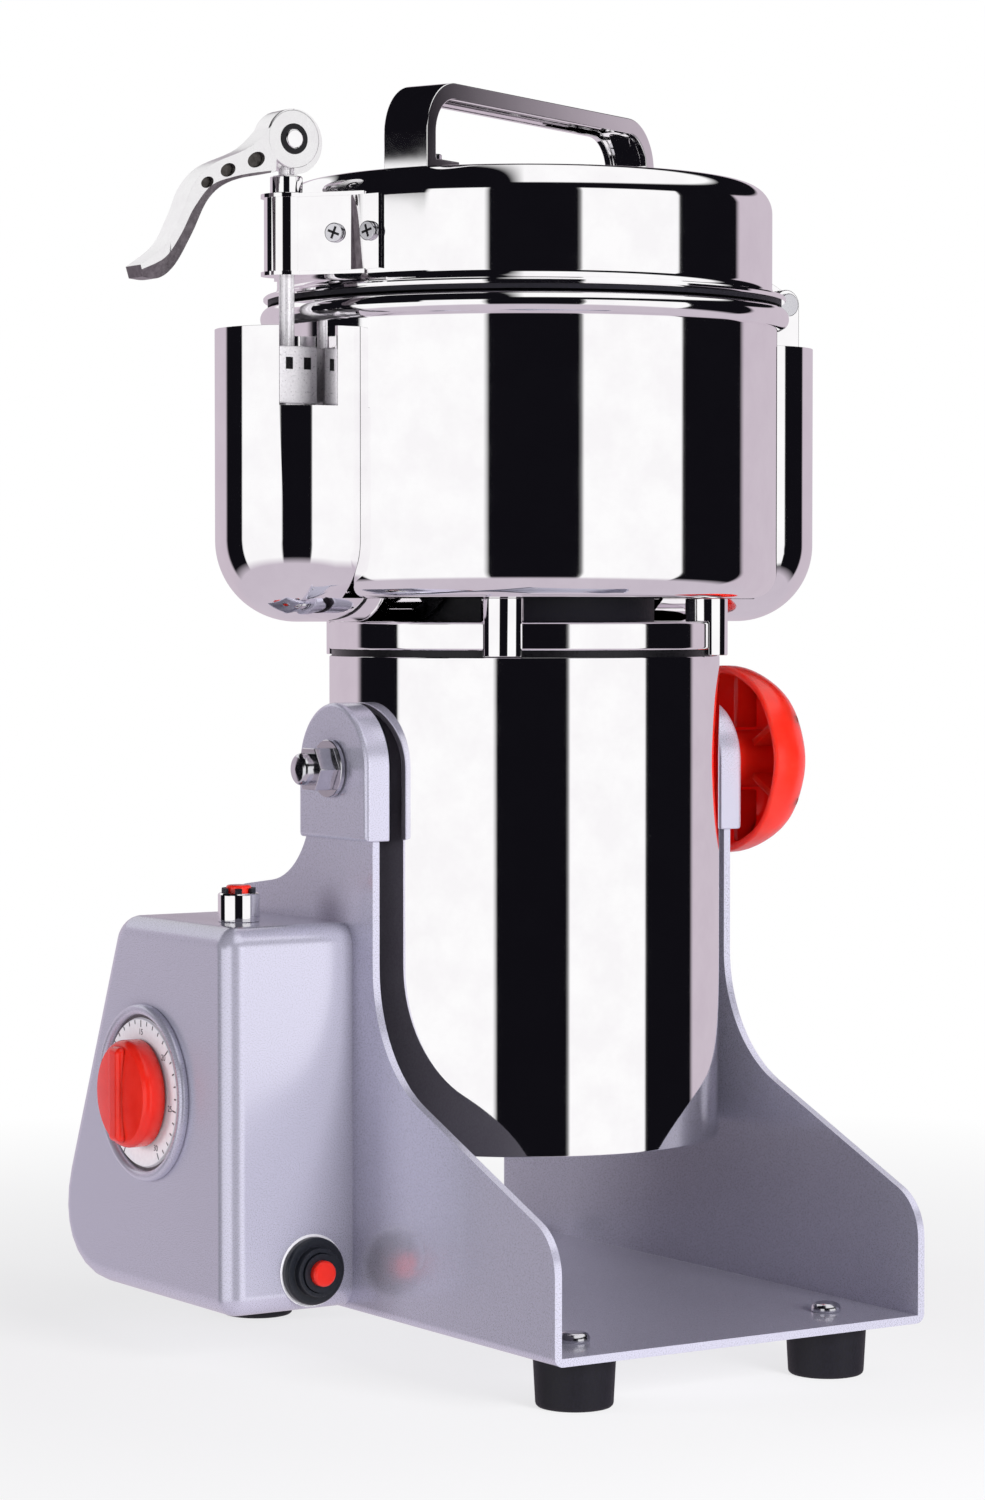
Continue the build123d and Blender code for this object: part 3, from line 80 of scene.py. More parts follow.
# Materials: each look gives two colours, a grain in millimetres, a roughness span and a bump height
looks = {
    # oven-baked silver powder coat: fine metal flake, slightly pebbled, soft highlights
    "powderCoat": dict(
        dark="#c6c4d6", light="#cbc9db", grainMm=0.3, rough=(0.26, 0.3), bumpMm=0.001, metallic=0.5,
        coat=(0.5, 0.08),
    ),
    # mirror polished stainless sheet: hardly any texture, only a breath of buffing haze
    "mirrorSteel": dict(
        dark="#f8f6f8", light="#fdfcfd", grainMm=14, rough=(0.02, 0.05), bumpMm=0, metallic=1,
    ),
    # bright zinc plate on screws and studs: a little milky
    "brightZinc": dict(
        dark="#d3d2d8", light="#dedde2", grainMm=3, rough=(0.13, 0.19), bumpMm=0.003, metallic=1,
    ),
    # die-cast aluminium: pale, grainy and dull
    "castAluminium": dict(
        dark="#a5a4ac", light="#bebdc5", grainMm=1.2, rough=(0.35, 0.5), bumpMm=0.05, metallic=0.9,
    ),
    # ground tool steel of the blades and the shaft
    "groundSteel": dict(
        dark="#a2a3a8", light="#c0c1c6", grainMm=0.6, rough=(0.2, 0.34), bumpMm=0.01, metallic=1,
    ),
    # varnished laminations of the motor, near black; also painted shade in the lever's holes: dark ovals
    # standing in for the shade seen through them
    "varnishedIronAndHoleShade": dict(
        dark="#3a3734", light="#565250", grainMm=1.0, rough=(0.4, 0.6), bumpMm=0.05, metallic=0.6,
    ),
    # oil-filled sintered bronze
    "sinteredBronze": dict(
        dark="#8d6a33", light="#b58c4a", grainMm=0.5, rough=(0.4, 0.55), bumpMm=0.02, metallic=0.9,
    ),
    # moulded black rubber: dull, with a faint pebble
    "mouldedRubber": dict(
        dark="#0f0e14", light="#191820", grainMm=0.8, rough=(0.55, 0.75), bumpMm=0.05, metallic=0,
    ),
    # black phenolic of the switch gear: satin
    "blackPhenolic": dict(
        dark="#14161c", light="#20232b", grainMm=0.6, rough=(0.3, 0.42), bumpMm=0.012, metallic=0,
    ),
    # injection-moulded red ABS: glossy, with a trace of flow marks
    "redAbs": dict(
        dark="#de2417", light="#e62c1f", grainMm=8, rough=(0.18, 0.24), bumpMm=0.01, metallic=0, depthMm=5,
    ),
    # white lacquered dial plate
    "dialLacquer": dict(
        dark="#e6e4ea", light="#ecebf0", grainMm=1.5, rough=(0.28, 0.34), bumpMm=0.003, metallic=0,
    ),
    # satin nickel plate on the clamp rod: soft and pale
    "satinNickel": dict(
        dark="#e2dfe3", light="#f0eef1", grainMm=0.8, rough=(0.26, 0.36), bumpMm=0.006, metallic=0.45,
    ),
    # buffed nickel of the lever: bright, but softer than a mirror
    "buffedNickel": dict(
        dark="#f1eff1", light="#faf9fa", grainMm=4, rough=(0.2, 0.27), bumpMm=0.002, metallic=1,
    ),
    # painted shade: a dark nickel grey on the lever's downward faces and in the dial's groove, standing in
    # for the shade that falls there
    "paintedShadeNickel": dict(
        dark="#645d62", light="#7d767b", grainMm=2, rough=(0.3, 0.4), bumpMm=0.01, metallic=0.7,
    ),
    # red ABS in a thin wall: light goes through it
    "thinRedAbs": dict(
        dark="#f02a1c", light="#f63223", grainMm=8, rough=(0.2, 0.26), bumpMm=0.01, metallic=0, depthMm=14,
    ),
    # painted shade: a dark grey on the inside of the left panel, standing in for the shade in the narrow gap
    # by the tube
    "paintedShadeGrey": dict(
        dark="#5f5c66", light="#6a6771", grainMm=0.6, rough=(0.5, 0.65), bumpMm=0.02, metallic=0,
    ),
    # painted shade: near black, standing in for the shade in the groove round the lever's pin, in screw
    # recesses, in the keeper's windows and in the seam under the motor cap
    "paintedShadeBlack": dict(
        dark="#0d0c0f", light="#17161a", grainMm=0.6, rough=(0.25, 0.4), bumpMm=0.004, metallic=0.4,
    ),
    # screen-printed dark grey ink
    "dialInk": dict(
        dark="#35333d", light="#45434d", grainMm=0.4, rough=(0.5, 0.6), bumpMm=0.004, metallic=0,
    ),
}
grainNoise = dict(detail=3, rough=0.6, tones=(0.36, 0.64), span=(0.3, 0.7), bump=0.6)
plasticGlow = dict(weightPerMm=0.07, mostWeight=0.9, spread=(1, 0.15, 0.1))


def makeMaterial(name, look):
    material = bpy.data.materials.new(name)
    material.use_nodes = True
    tree = material.node_tree
    shader = tree.nodes["Principled BSDF"]
    place = addNode(tree, "ShaderNodeTexCoord")
    grain = addNode(
        tree, "ShaderNodeTexNoise",
        {
            "Scale": 1 / (look["grainMm"] * mm),
            "Detail": grainNoise["detail"], "Roughness": grainNoise["rough"],
        },
        {"Vector": (place, "Object")},
    )
    colour = addNode(tree, "ShaderNodeValToRGB", links={"Fac": (grain, "Fac")})
    darkAt, lightAt = grainNoise["tones"]
    setRamp(colour, [(darkAt, look["dark"]), (lightAt, look["light"])])
    tree.links.new(colour.outputs["Color"], shader.inputs["Base Color"])
    (low, high), (smooth, dull) = grainNoise["span"], look["rough"]
    rough = addNode(
        tree, "ShaderNodeMapRange", {"From Min": low, "From Max": high, "To Min": smooth, "To Max": dull},
        {"Value": (grain, "Fac")},
    )
    tree.links.new(rough.outputs["Result"], shader.inputs["Roughness"])
    if look["bumpMm"]:
        bump = addNode(
            tree, "ShaderNodeBump", {"Strength": grainNoise["bump"], "Distance": look["bumpMm"] * mm},
            {"Height": (grain, "Fac")},
        )
        tree.links.new(bump.outputs["Normal"], shader.inputs["Normal"])
    shader.inputs["Metallic"].default_value = look["metallic"]
    if "coat" in look:
        for socket, value in zip(("Coat Weight", "Coat Roughness"), look["coat"]):
            shader.inputs[socket].default_value = value
    if "depthMm" in look:  # light that passes a little way into the plastic
        weight = min(plasticGlow["weightPerMm"] * look["depthMm"], plasticGlow["mostWeight"])
        shader.inputs["Subsurface Weight"].default_value = weight
        shader.inputs["Subsurface Radius"].default_value = plasticGlow["spread"]
        shader.inputs["Subsurface Scale"].default_value = look["depthMm"] * mm
    material.diffuse_color = linear(look["light"])
    return material


materials = {name: makeMaterial(name, look) for name, look in looks.items()}
slotLooks = {
    "silver_paint": "powderCoat",
    "mirror_steel": "mirrorSteel",
    "zinc_steel": "brightZinc",
    "cast_aluminium": "castAluminium",
    "blade_steel": "groundSteel",
    "bearing_steel": "groundSteel",
    "motor_iron": "varnishedIronAndHoleShade",
    "bronze": "sinteredBronze",
    "black_rubber": "mouldedRubber",
    "black_plastic": "blackPhenolic",
    "red_plastic": "redAbs",
    "dial_plastic": "dialLacquer",
}
for node, piece in frame["nodes"].items():
    piece.data.materials.clear()
    piece.data.materials.append(materials[slotLooks[slotOf[node]]])
print("materials made:", len(materials))


# Modelling helpers
merge = dict(turnedMm=0.002, copyMm=0.003, flatDeg=0.4)


def startFresh():
    if bpy.context.mode != "OBJECT":
        bpy.ops.object.mode_set(mode="OBJECT")
    bpy.ops.object.select_all(action="DESELECT")


def takeHold(piece):
    startFresh()
    piece.select_set(True)
    bpy.context.view_layer.objects.active = piece


def editAll(piece):  # edit mode, with everything selected
    takeHold(piece)
    bpy.ops.object.mode_set(mode="EDIT")
    bpy.ops.mesh.select_all(action="SELECT")


def selectWhere(piece, kind, isChosen):  # edit mode, with the edges or faces that pass the test
    takeHold(piece)
    bpy.ops.object.mode_set(mode="EDIT")
    bpy.ops.mesh.select_mode(type=kind)
    bpy.ops.mesh.select_all(action="DESELECT")
    bpy.ops.object.mode_set(mode="OBJECT")
    for part in (piece.data.edges if kind == "EDGE" else piece.data.polygons):
        part.select = isChosen(part)
    bpy.ops.object.mode_set(mode="EDIT")


def bevelWhere(piece, isChosen, offset, steps):  # rounds the edges whose two ends pass the test
    selectWhere(piece, "EDGE", lambda edge: all(isChosen(piece.data.vertices[i].co) for i in edge.vertices))
    bpy.ops.mesh.bevel(offset=offset, segments=steps, affect="EDGES")
    bpy.ops.object.mode_set(mode="OBJECT")


def applyModifier(piece, kind, **settings):
    takeHold(piece)
    modifier = piece.modifiers.new(kind.title(), kind)
    for key, value in settings.items():
        setattr(modifier, key, value)
    bpy.ops.object.modifier_apply(modifier=modifier.name)


def roundEdges(piece, widthMm, steps=2, angle=32):
    applyModifier(
        piece, "BEVEL", width=widthMm * mm, segments=steps, limit_method="ANGLE",
        angle_limit=math.radians(angle), miter_outer="MITER_ARC",
    )


def smoothBy(piece, angle=30):
    takeHold(piece)
    bpy.ops.object.shade_smooth_by_angle(angle=math.radians(angle))
    applyModifier(piece, "WEIGHTED_NORMAL", keep_sharp=True, weight=100)


def finishPiece(piece, name, node, look=None, replaces=True):  # names it, seats it on the node's body
    piece.name = name
    piece.data.name = name
    piece.data.materials.clear()
    piece.data.materials.append(materials[look or slotLooks[slotOf[node]]])
    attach(piece, bodyOf[node])
    if replaces:
        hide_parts(node)
    return piece


def boxOf(node):
    low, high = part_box(node)
    return Vector(low), Vector(high)


def middleOf(node):
    low, high = boxOf(node)
    return (low + high) / 2


turns = {"up": (0, 0, 0), "left": (0, -90, 0), "right": (0, 90, 0), "front": (90, 0, 0)}


def ringProfile(inner, outer, low, high):
    return [(inner, low), (outer, low), (outer, high), (inner, high)]


# A ring drawn out through (radius, height) pairs in millimetres, closed back on its first ring.
# Lobes are a count and a share of the radius.
def turnPiece(profile, centre, direction="up", steps=96, lobes=None):
    startFresh()
    first = profile[0]
    bpy.ops.mesh.primitive_circle_add(vertices=steps, radius=first[0] * mm, location=(0, 0, first[1] * mm))
    piece = bpy.context.object
    bpy.ops.object.transform_apply(location=True)
    if lobes:
        for vertex in piece.data.vertices:
            wave = 1 - lobes[1] * (0.5 - 0.5 * math.cos(lobes[0] * math.atan2(vertex.co.y, vertex.co.x)))
            vertex.co.x, vertex.co.y = vertex.co.x * wave, vertex.co.y * wave
    editAll(piece)
    for before, after in zip(profile, profile[1:] + profile[:1]):
        rise, share = (after[1] - before[1]) * mm, after[0] / before[0]
        bpy.ops.mesh.extrude_region_move(TRANSFORM_OT_translate={"value": (0, 0, rise)})
        bpy.ops.transform.resize(value=(share, share, 1), center_override=(0, 0, after[1] * mm))
    bpy.ops.mesh.select_all(action="SELECT")
    bpy.ops.mesh.remove_doubles(threshold=merge["turnedMm"] * mm)
    bpy.ops.mesh.normals_make_consistent(inside=False)
    bpy.ops.object.mode_set(mode="OBJECT")
    piece.rotation_euler = [math.radians(a) for a in turns[direction]]
    piece.location = centre
    bpy.ops.object.transform_apply(location=True, rotation=True)
    return piece


def addBlock(centre, size, turn=(0, 0, 0)):  # centre in metres, size in millimetres
    startFresh()
    bpy.ops.mesh.primitive_cube_add(size=1)
    block = bpy.context.object
    block.scale = [length * mm for length in size]
    block.rotation_euler = turn
    block.location = centre
    bpy.ops.object.transform_apply(location=True, rotation=True, scale=True)
    return block


def joinPieces(pieces):
    startFresh()
    for piece in pieces:
        piece.select_set(True)
    bpy.context.view_layer.objects.active = pieces[0]
    bpy.ops.object.join()
    return bpy.context.object


def arcPoints(centre, radius, start, end, count):  # part of a round corner, as (radius, height) pairs
    spots = [math.radians(start + (end - start) * i / count) for i in range(count + 1)]
    return [(centre[0] + radius * math.cos(a), centre[1] + radius * math.sin(a)) for a in spots]


# A merged copy of a solid, with flat faces made whole again
def mergedCopy(node):
    piece = bpy.data.objects.new(node, frame["nodes"][node].data.copy())
    bpy.context.scene.collection.objects.link(piece)
    editAll(piece)
    bpy.ops.mesh.remove_doubles(threshold=merge["copyMm"] * mm)
    bpy.ops.mesh.dissolve_limited(angle_limit=math.radians(merge["flatDeg"]))
    bpy.ops.object.mode_set(mode="OBJECT")
    return piece


def edgeCopy(node, name, widthMm, steps=2, look=None):  # its sharp edges are rounded over
    piece = mergedCopy(node)
    roundEdges(piece, widthMm, steps)
    smoothBy(piece)
    return finishPiece(piece, name, node, look)


def paintFaces(name, look, isChosen):  # a second look on the faces that pass the test
    piece = bpy.data.objects[name]
    piece.data.materials.append(materials[look])
    for face in piece.data.polygons:
        face.material_index = 1 if isChosen(face) else 0


# Pieces that keep the solid's shape and get rounded edges: node, name, edge in millimetres, steps
edgedPieces = [
    ("base_frame", "baseShell", 0.8, 3),
    ("pivot_cap_left", "pivotCapLeft", 0.5, 4),
    ("pivot_cap_right", "pivotCapRight", 0.5, 4),
    ("rubber_feet", "rubberFeet", 1.2, 3),
    ("pivot_stud_left", "pivotStudLeft", 0.5, 2),
    ("pivot_stud_right", "pivotStudRight", 0.3, 2),
    ("stud_washer", "studWasher", 0.2, 1),
    ("stud_nut", "studNut", 0.5, 2),
    ("breaker_bezel", "breakerBezel", 0.4, 2),
    ("reset_button", "resetButton", 0.2, 2),
    ("switch_bezel", "switchBezel", 0.2, 2),
    ("power_button", "powerButton", 0.2, 2),
    ("cable_gland", "cableGland", 0.5, 2),
    ("bowl_pillars", "bowlPillars", 0.3, 2),
    ("bowl_arm_left", "bowlArmLeft", 0.4, 2),
    ("bowl_arm_right", "bowlArmRight", 0.4, 2),
    ("clamp_bracket", "clampBracket", 0.4, 3),
    ("clamp_collar", "clampCollar", 0.5, 3),
    ("handle", "lidHandle", 0.9, 4),
    ("hinge_lug", "hingeLug", 0.3, 2),
    ("hinge_leaf", "hingeLeaf", 0.3, 2),
    ("hinge_pin", "hingePin", 0.3, 2),
    ("bottom_cover", "bottomCover", 0.2, 1),
    ("blade_lower", "bladeLower", 0.3, 1),
    ("blade_middle", "bladeMiddle", 0.3, 1),
    ("blade_upper", "bladeUpper", 0.3, 1),
    ("blade_nut", "bladeNut", 0.4, 2),
]
for node, name, widthMm, steps in edgedPieces:
    edgeCopy(node, name, widthMm, steps)
edgeCopy("clamp_rod", "clampRod", 0.3, look="satinNickel")
edgeCopy("cam_pin", "camPin", 0.5, 3, look="mirrorSteel")
edgeCopy("clamp_keeper", "clampKeeper", 0.3, look="satinNickel")
print("edged pieces:", len(edgedPieces))


# Screws: a near-black cross of painted shade where the recess is in each large round face, turned a little
# further than the last
recess = dict(
    reachShare=1.3, widthMm=0.75, thickMm=0.12, fewestCorners=10, headShare=0.6, firstTurn=0.5, nextTurn=0.9,
    edgeMm=0.35,
)


def crossScrews(node, name):
    piece = mergedCopy(node)
    flats = [face for face in piece.data.polygons if len(face.vertices) >= recess["fewestCorners"]]
    widest = max(face.area for face in piece.data.polygons)
    bars = []
    for count, face in enumerate(face for face in flats if face.area > recess["headShare"] * widest):
        radius = math.sqrt(face.area / math.pi)
        size = (radius / mm * recess["reachShare"], recess["widthMm"], recess["thickMm"])
        for quarter in (0, math.pi / 2):
            spin = Euler((0, 0, recess["firstTurn"] + recess["nextTurn"] * count + quarter)).to_quaternion()
            turn = (face.normal.to_track_quat("Z", "Y") @ spin).to_euler()
            bars.append(addBlock(face.center.copy(), size, turn))
    finishPiece(joinPieces(bars), name + "Recess", node, "paintedShadeBlack", replaces=False)
    roundEdges(piece, recess["edgeMm"], 3)
    smoothBy(piece)
    finishPiece(piece, name, node)


crossScrews("foot_screws", "footScrews")
crossScrews("bracket_screws", "bracketScrews")
crossScrews("handle_screws", "handleScrews")
print("screws recessed")

# Cam lever: the right half of the solid's head, a round head over the pin, and a cast arm.
# The arm's front turns under into a belly.
# Each station gives the upper and the lower edge as shares of the reach and the drop,
# then the belly's share of the height and its depth in millimetres.
lever = dict(
    dropMm=43.5, headMm=9.2, proudMm=0.05, edgeMm=0.6, edgeSteps=6, steps=6, sides=5, poleMm=0.02, smooth=16,
    ovalSteps=32, cutShare=1.5, holeShadeInsetMm=2, holeShadeEdgeMm=0.3, underTilt=0.25,
    stations=[
        ((0.1, -0.15), (0.12, 0.24), 0.97, 0.1),
        ((0.28, 0.07), (0.4, 0.32), 0.88, 0.6),
        ((0.54, 0.22), (0.54, 0.45), 0.62, 2.0),
        ((0.66, 0.37), (0.64, 0.7), 0.45, 3.0),
        ((0.73, 0.56), (0.75, 0.92), 0.42, 3.0),
        ((0.83, 0.78), (0.86, 1.02), 0.42, 2.4),
        ((1, 0.94), (0.98, 1.02), 0.4, 1.2),
    ],
    slots=[(0.25, 0.165, 6.4), (0.435, 0.25, 5.5), (0.57, 0.345, 4.6)], slotShare=0.69, slotTurn=28,
)
pinSpot = middleOf("cam_pin")
leverLow, leverHigh = boxOf("cam_lever")
leverFront = leverLow.y
leverReach = pinSpot.x - leverLow.x


def leverSpot(along, down):
    return pinSpot.x - along * leverReach, pinSpot.z - down * lever["dropMm"] * mm


def between(rows, position):  # a smooth value through evenly spaced rows
    start = min(int(position), len(rows) - 2)
    share = position - start
    a, b, c, d = (rows[min(max(start + k, 0), len(rows) - 1)] for k in (-1, 0, 1, 2))
    return [
        q + share / 2 * (r - p + share * (2 * p - 5 * q + 4 * r - t + share * (3 * (q - r) + t - p)))
        for p, q, r, t in zip(a, b, c, d)
    ]


rows = [(*upper, *lower, belly, depth) for upper, lower, belly, depth in lever["stations"]]
count = lever["steps"] * (len(rows) - 1)
startFresh()
bpy.ops.mesh.primitive_grid_add(x_subdivisions=count, y_subdivisions=lever["sides"], size=1)
arm = bpy.context.object
for vertex in arm.data.vertices:
    step, side = round((vertex.co.x + 0.5) * count), round((vertex.co.y + 0.5) * lever["sides"])
    upX, upZ, lowX, lowZ, belly, depth = between(rows, step / lever["steps"])
    (x, z), (underX, underZ) = leverSpot(upX, upZ), leverSpot(lowX, lowZ)
    down = (0, 0, belly, 1, 1, 0)[side]
    y = (leverHigh.y, leverFront, leverFront, leverFront + depth * mm, leverHigh.y, leverHigh.y)[side]
    vertex.co = (x + down * (underX - x), y, z + down * (underZ - z))
editAll(arm)
bpy.ops.mesh.remove_doubles(threshold=merge["turnedMm"] * mm)
bpy.ops.mesh.select_all(action="SELECT")
bpy.ops.mesh.fill_holes(sides=0)
bpy.ops.mesh.select_all(action="SELECT")
bpy.ops.mesh.normals_make_consistent(inside=False)
bpy.ops.object.mode_set(mode="OBJECT")


def addOval(x, y, z, lengthMm, depthMm):  # through the arm, along its slope
    startFresh()
    bpy.ops.mesh.primitive_cylinder_add(vertices=lever["ovalSteps"], radius=0.5, depth=1)
    oval = bpy.context.object
    oval.scale = (lengthMm * mm, lengthMm * lever["slotShare"] * mm, depthMm * mm)
    bpy.ops.object.transform_apply(scale=True)
    oval.rotation_euler = (math.radians(90), math.radians(-lever["slotTurn"]), 0)
    oval.location = (x, y, z)
    bpy.ops.object.transform_apply(location=True, rotation=True)
    return oval


# Oval holes through the arm; in each sits a near-black oval of painted shade, standing in for the shade seen
# through the hole
holeShades = []
leverDeep = (leverHigh.y - leverFront) / mm
leverMid = (leverFront + leverHigh.y) / 2
for along, down, lengthMm in lever["slots"]:
    x, z = leverSpot(along, down)
    cutter = addOval(x, leverMid, z, lengthMm, leverDeep * lever["cutShare"])
    applyModifier(arm, "BOOLEAN", object=cutter, operation="DIFFERENCE", solver="EXACT")
    bpy.data.objects.remove(cutter)
    holeShades.append(addOval(x, leverMid, z, lengthMm, leverDeep - 2 * lever["holeShadeInsetMm"]))
    roundEdges(holeShades[-1], lever["holeShadeEdgeMm"])
    smoothBy(holeShades[-1])
finishPiece(joinPieces(holeShades), "leverInlays", "cam_lever", "varnishedIronAndHoleShade", replaces=False)
head = mergedCopy("cam_lever")
for piece in (arm, head):
    roundEdges(piece, lever["edgeMm"], lever["edgeSteps"])
editAll(head)
bpy.ops.mesh.bisect(plane_co=(pinSpot.x, 0, 0), plane_no=(1, 0, 0), use_fill=True, clear_inner=True)
bpy.ops.object.mode_set(mode="OBJECT")
deep = leverDeep / 2 + lever["proudMm"]
disc = turnPiece(
    ringProfile(lever["poleMm"], lever["headMm"], -deep, deep), (pinSpot.x, leverMid, pinSpot.z), "front",
)
roundEdges(disc, lever["edgeMm"], lever["edgeSteps"])
for piece in (arm, head, disc):
    smoothBy(piece, lever["smooth"])
finishPiece(joinPieces([arm, head, disc]), "camLever", "cam_lever", "buffedNickel")
headEdge = pinSpot.x - lever["headMm"] * mm
# Painted shade: the arm's downward-facing faces get a dark nickel grey, for the shade under the lever
paintFaces(
    "camLever", "paintedShadeNickel", lambda face: face.center.x < headEdge and face.normal.z < -lever["underTilt"],
)

# Front plate of the keeper, with two near-black blocks of painted shade where its two windows are
keeperPlate = dict(
    sizeMm=(13.5, 1.2, 17.5), gapMm=2.95, shiftMm=-0.6, edgeMm=0.5,
    windowMm=(2.5, 0.3, 3.7), apartMm=6.4, dropMm=5.2, windowEdgeMm=0.1,
)
rodLow, rodHigh = boxOf("clamp_rod")
keeperTop = boxOf("clamp_keeper")[1].z
wide, thin, tall = keeperPlate["sizeMm"]
plateSpot = Vector((
    (rodLow.x + rodHigh.x) / 2 + keeperPlate["shiftMm"] * mm,
    rodLow.y - (keeperPlate["gapMm"] + thin / 2) * mm,
    keeperTop - tall / 2 * mm,
))
piece = addBlock(plateSpot, keeperPlate["sizeMm"])
roundEdges(piece, keeperPlate["edgeMm"], 3)
smoothBy(piece)
finishPiece(piece, "keeperPlate", "clamp_keeper", "satinNickel", replaces=False)
# Two near-black blocks of painted shade, standing in for the shade inside the plate's windows
windowZ = tall / 2 - keeperPlate["dropMm"]
windows = []
for side in (-1, 1):
    spot = plateSpot + Vector((side * keeperPlate["apartMm"] / 2, -thin / 2, windowZ)) * mm
    windows.append(addBlock(spot, keeperPlate["windowMm"]))
piece = joinPieces(windows)
roundEdges(piece, keeperPlate["windowEdgeMm"])
smoothBy(piece)
finishPiece(piece, "keeperWindows", "clamp_keeper", "paintedShadeBlack", replaces=False)

# A near-black ring of painted shade round the lever's pin, standing in for the shade in the groove there, and
# a domed end on the left pivot stud
pinRing = dict(innerMm=3.05, outerMm=4.7, proudMm=0.25)
piece = turnPiece(
    ringProfile(pinRing["innerMm"], pinRing["outerMm"], 0, pinRing["proudMm"]),
    (pinSpot.x, leverFront, pinSpot.z), "front", steps=48,
)
smoothBy(piece)
finishPiece(piece, "pinRing", "cam_pin", "paintedShadeBlack", replaces=False)

studDome = dict(
    radiusMm=5, stemMm=2.4, cornerMm=1.8, cornerTurn=80, crownMm=0.6, crownAt=0.25, crownShare=0.8,
    poleMm=0.02,
)
dome, corner, stem = studDome["radiusMm"], studDome["cornerMm"], studDome["stemMm"]
profile = [(studDome["poleMm"], 0), (dome, 0)]
profile += arcPoints((dome - corner, stem), corner, 0, studDome["cornerTurn"], 8)
profile += [
    (dome * studDome["crownAt"], stem + corner + studDome["crownMm"] * studDome["crownShare"]),
    (studDome["poleMm"], stem + corner + studDome["crownMm"]),
]
nutLow = boxOf("stud_nut")[0]
studSpot = middleOf("stud_nut")
piece = turnPiece(profile, (nutLow.x, studSpot.y, studSpot.z), "left", steps=48)
smoothBy(piece)
finishPiece(piece, "studDome", "pivot_stud_left", "brightZinc", replaces=False)

# Push switch: a black notched crown round the red button
crown = dict(count=6, radiusMm=4.9, widthMm=2.2, deepMm=1.4, riseMm=1.5, edgeMm=0.2)
crownSeat = boxOf("switch_bezel")[1].z
switchSpot = middleOf("switch_bezel")
blocks = []
for step in range(crown["count"]):
    turn = 2 * math.pi * step / crown["count"]
    outwards = Vector((math.cos(turn), math.sin(turn), 0)) * crown["radiusMm"] * mm
    spot = Vector((switchSpot.x, switchSpot.y, crownSeat + crown["riseMm"] / 2 * mm)) + outwards
    blocks.append(addBlock(spot, (crown["deepMm"], crown["widthMm"], crown["riseMm"]), (0, 0, turn)))
piece = joinPieces(blocks)
roundEdges(piece, crown["edgeMm"])
smoothBy(piece)
finishPiece(piece, "switchCrown", "switch_bezel", "blackPhenolic", replaces=False)

# Pale washer behind the overload breaker, and a weld mark on the left panel
washer = dict(outerMm=11.3, innerMm=6.4, thickMm=0.3)
bezelHigh = boxOf("breaker_bezel")[1]
bezelSpot = middleOf("breaker_bezel")
piece = turnPiece(
    ringProfile(washer["innerMm"], washer["outerMm"], 0, washer["thickMm"]),
    (bezelSpot.x, bezelHigh.y, bezelSpot.z), "front", steps=64,
)
smoothBy(piece)
finishPiece(piece, "breakerWasher", "breaker_bezel", "dialLacquer", replaces=False)

weldMark = dict(
    behindMm=75.4, aboveMm=39.8, radiusMm=5, proudMm=0.12, crestShare=0.7, hollowShare=0.4, poleMm=0.02,
    smooth=60,
)
panelLow = boxOf("base_frame")[0]
pole, wide, proud = weldMark["poleMm"], weldMark["radiusMm"], weldMark["proudMm"]
piece = turnPiece(
    [(pole, 0), (wide, 0), (wide * weldMark["crestShare"], proud), (pole, proud * weldMark["hollowShare"])],
    (panelLow.x, panelLow.y + weldMark["behindMm"] * mm, weldMark["aboveMm"] * mm), "left", steps=48,
)
smoothBy(piece, weldMark["smooth"])
finishPiece(piece, "weldMark", "base_frame", replaces=False)

# Timer knob: a crowned disc with a soft grip ridge across it
timerGrip = dict(
    radiusMm=17, boreMm=5, wallMm=4.2, roundMm=3, roundTurn=68,
    crownMm=8.2, crownFalls=[(0.6, 0.5), (0.3, 0.1)], poleMm=0.02, ridgeMm=(4.4, 7.4, 30), ridgeEdgeMm=2,
    ridgeSinkMm=0.8, smooth=40,
)
low, high = boxOf("timer_knob")
knobSpot = Vector((high.x, (low.y + high.y) / 2, (low.z + high.z) / 2))
wide, soft = timerGrip["radiusMm"], timerGrip["roundMm"]
profile = [(timerGrip["boreMm"], 0), (wide, 0)]
profile += arcPoints((wide - soft, timerGrip["wallMm"]), soft, 0, timerGrip["roundTurn"], 7)
crest = timerGrip["crownMm"]
profile += [(wide * share, crest - fallMm) for share, fallMm in timerGrip["crownFalls"]]
profile += [(timerGrip["poleMm"], crest)]
disc = turnPiece(profile, knobSpot, "left")
ridge = addBlock(knobSpot - Vector(((crest - timerGrip["ridgeSinkMm"]) * mm, 0, 0)), timerGrip["ridgeMm"])
roundEdges(ridge, timerGrip["ridgeEdgeMm"], 6)
for piece in (disc, ridge):
    smoothBy(piece, timerGrip["smooth"])
finishPiece(joinPieces([disc, ridge]), "timerKnob", "timer_knob")

# Lock knob: a domed cup with faint lobes and with ribs round its hub, open towards the machine
lockCup = dict(
    radiusMm=31, depthMm=19, wallMm=2.6, webMm=2.6, roundMm=2.2, poleMm=0.02, lobes=(8, 0.012), smooth=40,
    straightMm=3.5, domeMm=13.5, domeSteps=12,
    floorInMm=11, bendInMm=3, bendRiseMm=5, straightInMm=5, lipMm=1,
    hubMm=9.5, hubProudMm=5.6, hubSinkMm=0.4, lapMm=0.2, edgeMm=0.5,
    ribs=6, ribMm=2.5, ribTallMm=8, ribSinkMm=6, ribShortMm=2,
)
low, high = boxOf("lock_knob")
cupSpot = Vector((high.x - lockCup["depthMm"] * mm, (low.y + high.y) / 2, (low.z + high.z) / 2))
wide, deep, soft, hub = lockCup["radiusMm"], lockCup["depthMm"], lockCup["roundMm"], lockCup["hubMm"]
